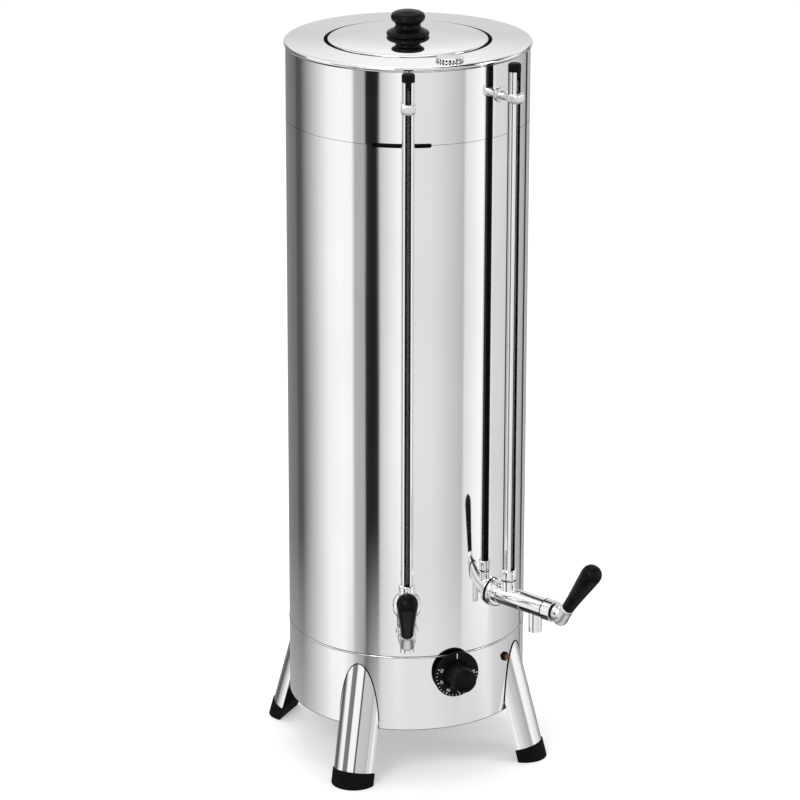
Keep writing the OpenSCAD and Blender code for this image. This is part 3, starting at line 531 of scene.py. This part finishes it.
plastic("lead_insulation", RED, MOULDED, depth=0.00003)
plastic("thermostat_case", SLATE, MOULDED)
plastic("dial_paint", PRINT, (0.45, 0.6), depth=0.00002)


# Finishes that change over a piece, with painted shade in recesses, flutes and guards, placed in millimetres

SKIN = 0.6
SOFT_EDGE = 0.2
PAINTED_SHADE_ROUGH = 0.5
# Greys of painted shade: in the gauge guards, in the filler cap's flutes, and in the recesses and the well.
GUARD_PAINTED_SHADE = (0.012, 0.012, 0.013)
CAP_FLUTE_SHADE = (0.015, 0.015, 0.016)
RECESS_SHADE_GREY = 0.03
WELL_SHADE_GREY = 0.1
DECK_FALL = 0.07


def polar(tree, x=0.0, y=0.0):
    """The distance from an upright axis, the vector from it and the height, in metres."""
    coords = tree.nodes.new("ShaderNodeTexCoord")
    parts = tree.nodes.new("ShaderNodeSeparateXYZ")
    link(tree, coords.outputs["Object"], parts.inputs[0])
    flat = tree.nodes.new("ShaderNodeVectorMath")
    flat.operation = "MULTIPLY_ADD"
    flat.inputs[1].default_value = (1, 1, 0)
    flat.inputs[2].default_value = (-x, -y, 0)
    link(tree, coords.outputs["Object"], flat.inputs[0])
    length = tree.nodes.new("ShaderNodeVectorMath")
    length.operation = "LENGTH"
    link(tree, flat.outputs[0], length.inputs[0])
    return length.outputs["Value"], flat.outputs[0], parts.outputs[2]


def step(tree, value, edge, width):
    """Rises from 0 to 1 over a width from an edge."""
    return levels(tree, value, 0.0, 1.0, edge * MM, (edge + width) * MM)


def paint_shade(material, mask, colour):
    """Painted shade: darker, rougher metal where the mask is 1."""
    tree = material.node_tree
    shader = tree.nodes["Principled BSDF"]
    bright = shader.inputs["Base Color"].links[0].from_socket
    smooth = shader.inputs["Roughness"].links[0].from_socket
    link(tree, mix_colour(tree, mask, bright, colour), shader.inputs["Base Color"])
    mixed = tree.nodes.new("ShaderNodeMix")
    link(tree, mask, mixed.inputs[0])
    link(tree, smooth, mixed.inputs[2])
    mixed.inputs[3].default_value = PAINTED_SHADE_ROUGH
    link(tree, mixed.outputs[0], shader.inputs["Roughness"])
    return material


def guard_chrome_and_shade(name, bearing):
    """Chrome in front, with painted shade inside the tube and a painted dark reflection on its half that
    faces the jacket.
    """
    material = metal(name, CHROME, (0.12, 0.16), (300, 300, 60), depth=CHROME_DEPTH)
    tree = material.node_tree
    outward = at(bearing) @ Vector((1, 0, 0))
    radius, offset, _ = polar(tree, *(outward * GAUGE_X * MM).xy)
    back = tree.nodes.new("ShaderNodeVectorMath")
    back.operation = "DOT_PRODUCT"
    back.inputs[1].default_value = -outward
    link(tree, offset, back.inputs[0])
    # Painted shade inside the tube; painted dark reflection, nearly black from just behind the middle and
    # black at the rear.
    inside = inverse(tree, step(tree, radius, GUARD_R - SKIN, SOFT_EDGE))
    flank = maths(tree, "MULTIPLY", step(tree, back.outputs["Value"], 0.6, 1.0), 0.94)
    rear = maths(tree, "MAXIMUM", flank, step(tree, back.outputs["Value"], 3.6, 1.0))
    return paint_shade(material, maths(tree, "MAXIMUM", inside, rear), GUARD_PAINTED_SHADE)


def steel_with_recess_shade(name, inner, outer, top, grey=RECESS_SHADE_GREY, metallic=1.0):
    """Polished steel with painted shade, dark and rough, between two radii and below a height."""
    material = metal(name, STEEL, MIRROR, SHEET_GRAIN, wave=0.00025)
    tree = material.node_tree
    tree.nodes["Principled BSDF"].inputs["Metallic"].default_value = metallic
    radius, _, height = polar(tree)
    past_inner = step(tree, radius, inner, SOFT_EDGE)
    past_outer = step(tree, radius, outer, SOFT_EDGE)
    within = maths(tree, "SUBTRACT", past_inner, past_outer)
    below = inverse(tree, step(tree, height, top - 0.8, 0.8))
    return paint_shade(material, maths(tree, "MULTIPLY", within, below), (grey, grey, grey))


def crowned(material, slope):
    """Mirrors as a sheet that falls outward by a slope."""
    tree = material.node_tree
    normal = tree.nodes["Principled BSDF"].inputs["Normal"]
    radius, _, _ = polar(tree)
    fall = maths(tree, "MULTIPLY", radius, -1)
    link(tree, bump(tree, fall, slope, 1.0, normal.links[0].from_socket), normal)
    return material


def cap_steel_and_flute_shade(name):
    """Polished steel with painted shade in the flutes of the filler cap's edge."""
    material = metal(name, STEEL, (0.06, 0.12), CAST_GRAIN)
    tree = material.node_tree
    radius, offset, height = polar(tree, *(at(0) @ Vector((FILLER_POS * MM, 0, 0))).xy)
    parts = tree.nodes.new("ShaderNodeSeparateXYZ")
    link(tree, offset, parts.inputs[0])
    angle = maths(tree, "ARCTAN2", parts.outputs[1], parts.outputs[0])
    wave = maths(tree, "COSINE", maths(tree, "MULTIPLY", angle, CAP_FLUTES))
    flute = levels(tree, wave, 1.0, 0.0, -0.6, 0.1)
    below = inverse(tree, step(tree, height, CAP_Z + CAP_FLUTE_TOP, 0.3))
    edge = step(tree, radius, FILLER_R - 1.6, 0.3)
    mask = maths(tree, "MULTIPLY", maths(tree, "MULTIPLY", flute, below), edge)
    return paint_shade(material, mask, CAP_FLUTE_SHADE)


def set_finish(node, material):
    nodes[node].data.materials[0] = material


for node in nodes.values():
    slot = node.data.materials[0].name.split(".")[0]
    node.data.materials.clear()
    node.data.materials.append(finishes[slot])
for side, bearing in TAPS:
    set_finish(side + "_gauge_guard", guard_chrome_and_shade(side + "_guard_chrome", bearing))
# Painted shade in the lid's gap and the well, on the vessel's rim, and inside the jacket, the collar and the
# tank.
deck_steel = steel_with_recess_shade("deck_steel", 0, WELL_R + 0.4, DECK_Z - 0.1, WELL_SHADE_GREY)
set_finish("top_deck", crowned(deck_steel, DECK_FALL))
vessel_steel = steel_with_recess_shade("vessel_steel", VESSEL_IN_R + 0.2, WELL_R + 4, LID_TOP_Z, WELL_SHADE_GREY, 0.5)
set_finish("coffee_vessel", vessel_steel)
set_finish("main_jacket", steel_with_recess_shade("jacket_steel", -1, BODY_R - SKIN, LID_TOP_Z))
set_finish("upper_collar", steel_with_recess_shade("collar_steel", -1, BODY_R - SKIN, LID_TOP_Z))
set_finish("water_tank", steel_with_recess_shade("tank_steel", TANK_R - 1.1, BODY_R, LID_TOP_Z))
cap_steel_and_flute_shade("cap_steel")


# Shapes, in millimetres


def smooth_curve(points, steps=8):
    """Points on a curve through the given points."""
    full = [points[0], *points, points[-1]]
    curve = []
    for i in range(1, len(full) - 2):
        p0, p1, p2, p3 = full[i - 1 : i + 3]
        for k in range(steps):
            t = k / steps
            curve.append(tuple(
                0.5 * (2 * b + (c - a) * t + (2 * a - 5 * b + 4 * c - d) * t * t
                       + (3 * b - a - 3 * c + d) * t ** 3)
                for a, b, c, d in zip(p0, p1, p2, p3)))
    curve.append(points[-1])
    return [(max(r, 0.0), z) for r, z in curve]


def lathe(profile, segments=96, ripple=None, start=0.0, sweep=360.0):
    """Turns a profile of (radius, height) about local Z. A ripple moves the radius by angle and height.

    On a part turn, the profile ends where it starts, and both ends are capped.
    """
    shape = bmesh.new()
    count = segments if sweep == 360 else segments + 1
    rings = []
    for radius, height in profile:
        if radius < 1e-6:
            rings.append([shape.verts.new((0, 0, height))])
            continue
        ring = []
        for k in range(count):
            angle = math.radians(start + sweep * k / segments)
            r = radius + (ripple(angle, radius, height) if ripple else 0)
            ring.append(shape.verts.new((r * math.cos(angle), r * math.sin(angle), height)))
        rings.append(ring)
    for low, high in zip(rings, rings[1:]):
        for k in range(segments):
            n = (k + 1) % count
            corners = []
            for ring, i in ((low, k), (low, n), (high, n), (high, k)):
                corner = ring[i % len(ring)]
                if corner not in corners:
                    corners.append(corner)
            if len(corners) > 2:
                shape.faces.new(corners)
    if sweep != 360:
        shape.faces.new([ring[0] for ring in rings[:-1]])
        shape.faces.new([ring[-1] for ring in rings[:-1]])
    return shape


def skin(shape, rings):
    """Walls between rings of equal count, and a face on each end."""
    for low, high in zip(rings, rings[1:]):
        for k in range(len(low)):
            n = (k + 1) % len(low)
            shape.faces.new((low[k], low[n], high[n], high[k]))
    shape.faces.new(rings[0])
    shape.faces.new(rings[-1])


def loft(rows, sides=64):
    """A skin along local X over rounded oblongs of (x, half width, half height, squareness)."""
    shape = bmesh.new()
    rings = []
    for x, wide, high, square in rows:
        ring = []
        for k in range(sides):
            c, s = math.cos(2 * math.pi * k / sides), math.sin(2 * math.pi * k / sides)
            y = math.copysign(abs(c) ** (2 / square), c) * wide
            z = math.copysign(abs(s) ** (2 / square), s) * high
            ring.append(shape.verts.new((x, y, z)))
        rings.append(ring)
    skin(shape, rings)
    return shape


def bead(points, radius, sides=10):
    """A round bead along points, with its section square to them."""
    shape = bmesh.new()
    rings = []
    for i, point in enumerate(points):
        ahead = (points[min(i + 1, len(points) - 1)] - points[max(i - 1, 0)]).normalized()
        side = ahead.cross(Vector((point.x, point.y, 0))).normalized()
        out = side.cross(ahead)
        ring = []
        for k in range(sides):
            angle = 2 * math.pi * k / sides
            ring.append(shape.verts.new(point + radius * (math.cos(angle) * side + math.sin(angle) * out)))
        rings.append(ring)
    skin(shape, rings)
    return shape


def joined(*shapes):
    """One shape from several."""
    whole = bmesh.new()
    for shape in shapes:
        mesh = bpy.data.meshes.new("joined")
        shape.to_mesh(mesh)
        shape.free()
        whole.from_mesh(mesh)
        bpy.data.meshes.remove(mesh)
    return whole


def evaluated(piece):
    """A new mesh of a piece, as its modifiers or its font make it."""
    bpy.context.view_layer.update()
    return bpy.data.meshes.new_from_object(piece.evaluated_get(bpy.context.evaluated_depsgraph_get()))


def cut_bore(piece, radius, place, depth=60):
    """Cuts an upright bore through a piece."""
    shape = bmesh.new()
    bmesh.ops.create_cone(shape, cap_ends=True, segments=64, radius1=radius, radius2=radius, depth=depth)
    mesh = bpy.data.meshes.new("bore")
    shape.transform(Matrix.Scale(MM, 4) @ place)
    shape.to_mesh(mesh)
    shape.free()
    cutter = bpy.data.objects.new("bore", mesh)
    bpy.context.scene.collection.objects.link(cutter)
    cut = piece.modifiers.new("bore", "BOOLEAN")
    cut.object = cutter
    cut.solver = "EXACT"
    whole = piece.data
    piece.data = evaluated(piece)
    piece.modifiers.clear()
    bpy.data.objects.remove(cutter)
    bpy.data.meshes.remove(mesh)
    bpy.data.meshes.remove(whole)


def finish_piece(name, shape, place, slot, body, sharp=35, stands_for=None, bore=None, finish=None):
    """Turns a shape into a piece that rides on a body, in its slot's finish unless another is named."""
    bmesh.ops.remove_doubles(shape, verts=shape.verts, dist=0.0005)
    bmesh.ops.recalc_face_normals(shape, faces=shape.faces)
    mesh = bpy.data.meshes.new(name)
    shape.transform(Matrix.Scale(MM, 4) @ place)
    shape.to_mesh(mesh)
    shape.free()
    mesh.materials.append(finishes[finish or slot])
    piece = bpy.data.objects.new(name, mesh)
    bpy.context.scene.collection.objects.link(piece)
    if bore:
        cut_bore(piece, *bore)
    piece.data.shade_smooth()
    piece.data.set_sharp_from_angle(angle=math.radians(sharp))
    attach(piece, body)
    if stands_for:
        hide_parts(stands_for)


# Pieces with more form than the solids, as profiles of (radius, height)


def add_grip(side, bearing):
    """The lever's turned grip, from the ferrule to its round end."""
    foot = FERRULE_L
    top = foot + LEVER_GRIP_L - 0.5
    profile = [(4.1, foot), (6.0, foot), (6.45, foot + 0.4)] + smooth_curve([
        (6.6, foot + 1.2), (6.8, foot + 6), (7.5, foot + 16), (8.5, foot + 27), (9.6, foot + 38),
        (10.5, foot + 48), (10.85, top - 11), (10.4, top - 7.4), (9.2, top - 4.6), (7.2, top - 2.5),
        (4.6, top - 0.95), (2.2, top - 0.2), (0, top)])
    finish_piece(side + "_grip_turned", lathe(profile), lever_place(bearing), "black_phenolic",
                 side + "_handle", sharp=50, stands_for=side + "_lever_grip")


def add_lever(side, bearing):
    """The cast lever: a round hub on the tap's axis that runs into the ferrule under the grip."""
    face = HUB_X + 0.05
    hub = lathe([
        (0, 0), (HUB_R - 0.8, 0), (HUB_R - 0.2, 0.4), (HUB_R, 1.2), (HUB_R, 6.0), (HUB_R - 0.3, 7.4),
        (HUB_R - 1.2, 9.0), (HUB_R - 2.9, 10.6), (HUB_R - 5.4, 11.7), (0, 12.2)])
    hub.transform(move(face, 0, TAP_Z) @ turn(90, "Y"))
    ferrule = lathe([
        (0, -14), (2.5, -13.6), (4.7, -12.5), (6.3, -10.9), (7.4, -9), (7.9, -6.8), (7.9, -4.5), (7.6, -1.5),
        (7.3, 2), (7.2, 6), (7.0, FERRULE_L - 0.8), (6.5, FERRULE_L - 0.1), (4.1, FERRULE_L), (0, FERRULE_L)])
    ferrule.transform(at(bearing).inverted() @ lever_place(bearing))
    for vert in ferrule.verts:
        vert.co.x = max(vert.co.x, face)
    finish_piece(side + "_lever_cast", joined(hub, ferrule), at(bearing), "chrome", side + "_handle",
                 sharp=50, stands_for=side + "_lever", finish="satin_chrome")


def add_set_screw(side, bearing):
    """A black socket screw in the side of the lever's hub."""
    profile = [(0, 0.04), (0.5, 0.04), (0.65, 0.18), (1.0, 0.18), (1.2, 0.05), (1.2, -0.5), (0, -0.5)]
    place = at(bearing) @ move(HUB_X + 5.2, 0, TAP_Z) @ turn(75, "X") @ move(0, 0, HUB_R)
    finish_piece(side + "_set_screw", lathe(profile, 24), place, "black_nylon", side + "_handle")


def add_flange_cup(side, bearing):
    """The rounded rim of the tap's wall flange."""
    section = [(0.02, 1.0), (0.2, 1.1), (0.3, 1.6), (0.3, 4.6), (0.1, 5.5), (-0.6, 6.15), (-2.0, 6.35),
               (-4.7, 6.4), (-4.7, 6.05), (0.02, 6.05), (0.02, 1.0)]
    shape = lathe([(FLANGE_R + r, BODY_R + z) for r, z in section])
    finish_piece(side + "_flange_cup", shape, tap_place(bearing), "chrome", "urn", sharp=50)


def add_bonnet_seal(side, bearing):
    """The dark ring that the bonnet nut is screwed down on."""
    section = [(10.3, -0.6), (11.0, -0.6), (11.3, -0.3), (11.35, 0.2), (11.3, 0.7), (11.0, 0.95),
               (10.3, 0.95), (10.3, -0.6)]
    shape = lathe([(r, BARREL_X + z) for r, z in section])
    finish_piece(side + "_bonnet_seal", shape, tap_place(bearing), "rubber", "urn")


def add_gauge_nut(side, bearing):
    """A round nut with soft edges, and the dark ring that it is screwed down on."""
    place = at(bearing) @ move(GAUGE_X, 0, NUT_Z)
    bore = GUARD_R + 0.2
    nut = [(bore, 0.3), (7.5, 0.3), (8.1, 0.45), (8.45, 0.9), (8.6, 1.8), (8.6, 9.9), (8.45, 10.9),
           (8.0, 11.6), (7.4, 11.9), (bore, 11.9), (bore, 0.3)]
    finish_piece(side + "_gauge_nut_turned", lathe(nut), place, "chrome", "urn", sharp=50,
                 stands_for=side + "_gauge_nut")
    seal = [(7.0, -0.6), (7.95, -0.6), (8.2, -0.4), (8.25, -0.1), (8.1, 0.25), (7.0, 0.3), (7.0, -0.6)]
    finish_piece(side + "_gauge_nut_seal", lathe(seal), place, "rubber", "urn")


def add_holder(side, bearing):
    """The gauge's holder: a wall collar, a rod and a rounded head round the guard."""
    collar = [(-5, HOLDER_ROD_R), (0.05, HOLDER_ROD_R), (0.05, 7.2), (0.2, 7.5), (1.4, 7.5), (1.9, 7.0),
              (2.0, 4.8), (2.4, HOLDER_ROD_R)]
    head = [(-11, HOLDER_ROD_R, HOLDER_ROD_R, 2), (-8.5, 4.7, 4.6, 2.1), (-6, 5.6, 4.9, 2.5),
            (-3, 6.9, 5.3, 3), (0, 7.35, 5.6, 3.4), (3.5, 7.45, 5.7, 3.6), (6, 7.35, 5.6, 3.6),
            (7.6, 6.95, 5.2, 3.4), (8.6, 6.2, 4.5, 3.2), (9.1, 4.9, 3.3, 3), (9.2, 3.0, 1.8, 2.6)]
    rows = [(BODY_R + x, r, r, 2) for x, r in collar]
    rows += [(GAUGE_X + x, *section) for x, *section in head]
    bore = (GUARD_R + 0.05, at(bearing) @ move(GAUGE_X, 0, HOLDER_Z))
    finish_piece(side + "_holder_forged", loft(rows), at(bearing) @ move(0, 0, HOLDER_Z), "chrome", "urn",
                 sharp=40, stands_for=side + "_gauge_holder", bore=bore, finish="satin_chrome")


SEAM_SEGMENTS = 288


def add_hem():
    """The rolled hem on the base band, under the lower seam."""
    section = [(-0.4, -1.9), (0.05, -1.85), (0.28, -1.45), (0.36, -0.95), (0.28, -0.45), (0.05, -0.1),
               (-0.4, -0.05), (-0.4, -1.9)]
    shape = lathe([(BODY_R + r, z) for r, z in section], SEAM_SEGMENTS)
    finish_piece("lower_seam_hem", shape, move(0, 0, SEAM_Z), "polished_steel", "urn", sharp=60)


def add_shade_line(name, place, height, gap=0.0):
    """A dark ring round the body, painted shade in a seam or under an edge, open by a gap to each side of
    local X.
    """
    section = [(-0.1, 0), (0.05, 0.05), (0.07, 0.45), (0.05, 0.85), (-0.1, 0.9), (-0.1, 0)]
    profile = [(BODY_R + r, height * z) for r, z in section]
    shape = lathe(profile, SEAM_SEGMENTS, start=gap, sweep=360 - 2 * gap)
    finish_piece(name, shape, place, "black_nylon", "urn", sharp=60)


def add_leg_shade_bead(name, bearing):
    """A dark bead of painted shade where a leg meets the band."""
    radius = (LEG_W ** 2 / 4 + LEG_DEPTH ** 2) / (2 * LEG_DEPTH)
    half_arc = math.acos((radius - LEG_DEPTH) / radius)
    slope = math.radians(LEG_SPLAY)
    half_count = 32
    points = []
    for k in range(-half_count, half_count + 1):
        angle = half_arc * k / half_count
        x = LEG_DEPTH - radius + radius * math.cos(angle)
        y = radius * math.sin(angle)
        foot = BODY_R + LEG_OUT + x * math.cos(slope)
        meet = math.sqrt((BODY_R + 0.35) ** 2 - y * y)
        along = (foot - meet) / math.sin(slope)
        points.append(Vector((meet, y, x * math.sin(slope) + along * math.cos(slope))))
    finish_piece(name + "_shade_bead", bead(points, 0.55), at(bearing), "rubber", "urn", sharp=60)


def add_lid():
    """The spun lid: a smooth dome, a soft edge and the skirt that stands in the well."""
    rings = (2.8, 15, 28, 38, 47, 55, 62, 68, 73, 77, 79.5, LID_R - 1.2)
    dome = [(r, LID_TOP_Z - LID_RISE * (r / LID_R) ** LID_CURVE) for r in rings]
    edge = LID_TOP_Z - LID_RISE
    skirt = [(LID_R - 0.6, edge - 0.1), (LID_R - 0.15, edge - 0.5), (LID_R, edge - 1.1),
             (LID_R, LID_FOOT_Z + 0.1), (LID_R - LID_SHEET, LID_FOOT_Z), (LID_R - LID_SHEET, edge - 1.1)]
    inside = [(r, z - LID_SHEET) for r, z in reversed(dome)]
    shape = lathe(dome + skirt + inside + dome[:1], 192)
    finish_piece("lid_spun", shape, Matrix.Identity(4), "polished_steel", "lid", sharp=60, stands_for="lid")


def add_lid_knob():
    """The lid's turned knob: a spreading foot, a waist and a round head."""
    profile = [(3.2, 0), (19.6, 0)] + smooth_curve([
        (20.6, 0.1), (21.7, 1.1), (22.0, 2.3), (21.6, 3.7), (20.2, 4.9), (17.2, 6.4), (14.2, 8.1),
        (13.1, 9.7), (13.0, 11.2), (13.3, 12.6), (14.6, 14.0), (16.5, 15.9), (17.5, 18.4), (17.4, 20.6),
        (16.2, 22.8), (13.9, 24.3), (11.6, 25.0), (8.0, 25.9), (4.0, 26.45), (0, 26.6)])
    finish_piece("lid_knob_turned", lathe(profile, 128), move(0, 0, LID_TOP_Z), "black_phenolic", "lid",
                 sharp=60, stands_for="lid_knob")


def flute(angle, count):
    """From 0 on a ridge to 1 in a flute."""
    return 0.5 - 0.5 * math.cos(count * angle)


def dial_flutes(angle, radius, height):
    """Cuts the sides of the dial's grip, below its front edge."""
    if radius < DIAL_GRIP_FACE_R - 1.2 or height > DIAL_TOP - 1.0:
        return 0
    return -DIAL_FLUTE_DEPTH * flute(angle, DIAL_FLUTES) ** 2


def add_dial():
    """The dial: a flat disc and a fluted grip with a groove in its face."""
    top = DIAL_TOP
    face = DIAL_GRIP_FACE_R
    disc = [(3.1, 0), (DIAL_R - 0.5, 0), (DIAL_R, 0.5), (DIAL_R, DIAL_T - 0.7), (DIAL_R - 0.25, DIAL_T - 0.2),
            (DIAL_R - 0.8, DIAL_T), (DIAL_GRIP_FOOT_R - 0.4, DIAL_T)]
    taper = (DIAL_GRIP_FOOT_R - face) / top
    heights = (DIAL_T - 0.2, DIAL_T + 1, 8, 12, 16, 20, top - 1.2)
    grip = [(DIAL_GRIP_FOOT_R - taper * z, z) for z in heights]
    grip += [(face - 0.25, top - 0.45), (face - 0.9, top), (face - 1.9, top), (face - 2.2, top - 0.35),
             (face - 2.5, top - 0.35), (face - 2.8, top - 0.1), (4, top - 0.02), (0, top)]
    shape = joined(lathe(disc, 144), lathe(grip, 144, dial_flutes))
    finish_piece("dial_moulding", shape, dial_place(), "black_phenolic", "dial", sharp=40,
                 stands_for="dial_knob")


# The dial's print: clock angles of the marks, and the numbers beside them.
SCALE_START = -68
SCALE_STEP = -40
SCALE_END = -270
DIAL_MARKS = [(SCALE_START + SCALE_STEP * k, str(20 * (k + 1))) for k in range(6)]
NUMBER_SIZE = 4.3
PRINT_T = 0.1


def add_bar(shape, length, width, thick, place):
    """A printed bar with round ends, lying on local XY."""
    rim = []
    for end, start in ((1, -90), (-1, 90)):
        for k in range(9):
            angle = math.radians(start + 22.5 * k)
            x = end * (length - width) / 2 + width / 2 * math.cos(angle)
            rim.append((x, width / 2 * math.sin(angle)))
    low = [shape.verts.new(place @ Vector((x, y, 0))) for x, y in rim]
    high = [shape.verts.new(place @ Vector((x * 0.99, y * 0.96, thick))) for x, y in rim]
    skin(shape, [low, high])


def clock_place(angle, radius):
    """On the dial's disc at a clock angle, with local X along the radius."""
    return turn(180 - angle, "Z") @ move(radius, 0, DIAL_T - 0.02)


def add_dial_scale():
    """A pointer bar at the top, and a long mark and up to three short ones for each number."""
    shape = bmesh.new()
    add_bar(shape, 6.2, 1.0, PRINT_T, clock_place(0, DIAL_R - 4.2))
    for angle, _ in DIAL_MARKS:
        add_bar(shape, 2.6, 0.75, PRINT_T, clock_place(angle, DIAL_R - 2.3))
        for quarter in (1, 2, 3):
            between = angle + SCALE_STEP * quarter / 4
            if between > SCALE_END:
                add_bar(shape, 1.6, 0.55, PRINT_T, clock_place(between, DIAL_R - 1.8))
    finish_piece("dial_scale", shape, dial_place(), "dial_paint", "dial")


def printed(text):
    """A flat mesh of a number."""
    data = bpy.data.curves.new("number", "FONT")
    data.body = text
    data.size = NUMBER_SIZE
    data.extrude = PRINT_T / 2
    data.align_x = "CENTER"
    data.align_y = "CENTER"
    label = bpy.data.objects.new("number", data)
    bpy.context.scene.collection.objects.link(label)
    mesh = evaluated(label)
    bpy.data.objects.remove(label)
    bpy.data.curves.remove(data)
    return mesh


def add_dial_numbers():
    numbers = bmesh.new()
    for angle, text in DIAL_MARKS:
        mesh = printed(text)
        mesh.transform(clock_place(angle, DIAL_R - 5.9) @ turn(90, "Z") @ move(0, 0, PRINT_T / 2))
        numbers.from_mesh(mesh)
        bpy.data.meshes.remove(mesh)
    finish_piece("dial_numbers", numbers, dial_place(), "dial_paint", "dial")


def add_index_mark():
    """The small printed mark on the jacket above the dial."""
    shape = bmesh.new()
    add_bar(shape, 1.7, 1.3, 0.06, Matrix.Identity(4))
    place = at(0) @ move(BODY_R - 0.01, 0, SEAM_Z + 5.2) @ turn(90, "Y")
    finish_piece("dial_index", shape, place, "black_nylon", "urn")


def cap_flutes(angle, radius, height):
    """Mills the filler cap's edge, between its lower and its upper rim."""
    if radius < FILLER_R - 0.3 or height < 0.4 or height > CAP_FLUTE_TOP:
        return 0
    return -CAP_FLUTE_DEPTH * flute(angle, CAP_FLUTES)


def add_filler_cap():
    """The filler plug: its stem, and its cap with a milled edge and a dished top."""
    stem_r = 9.1
    profile = [
        (0, -CAP_STEM_L), (stem_r, -CAP_STEM_L), (stem_r, 0), (FILLER_R - 0.5, 0), (FILLER_R - 0.1, 0.3),
        (FILLER_R, 0.5), (FILLER_R, CAP_H - 1.0), (FILLER_R - 0.15, CAP_H - 0.6),
        (FILLER_R - 0.6, CAP_H - 0.15), (FILLER_R - 1.3, CAP_H), (FILLER_R - 2.6, CAP_H),
        (FILLER_R - 3.0, CAP_H - 0.3), (FILLER_R - 3.4, CAP_H - 0.3), (5, CAP_H - 0.2), (0, CAP_H - 0.1)]
    finish_piece("filler_cap_milled", lathe(profile, 240, cap_flutes), at(0) @ move(FILLER_POS, 0, CAP_Z),
                 "polished_steel", "filler", sharp=40, stands_for="filler_plug", finish="cap_steel")


for side, bearing in TAPS:
    add_grip(side, bearing)
    add_lever(side, bearing)
    add_set_screw(side, bearing)
    add_flange_cup(side, bearing)
    add_bonnet_seal(side, bearing)
    add_gauge_nut(side, bearing)
    add_holder(side, bearing)
add_hem()
# Dark rings of painted shade in the seams and under the band's lower edge.
add_shade_line("lower_seam_shade_line", move(0, 0, SEAM_Z), 0.7)
add_shade_line("lower_edge_shade_line", move(0, 0, BAND_Z), 0.6)
add_shade_line("upper_seam_shade_line", at(VENT_AZ) @ move(0, 0, VENT_Z), 0.4, VENT_HALF_ANGLE)
for name, bearing in LEGS:
    add_leg_shade_bead(name, bearing)
add_lid()
add_lid_knob()
add_dial()
add_dial_scale()
add_dial_numbers()
add_index_mark()
add_filler_cap()
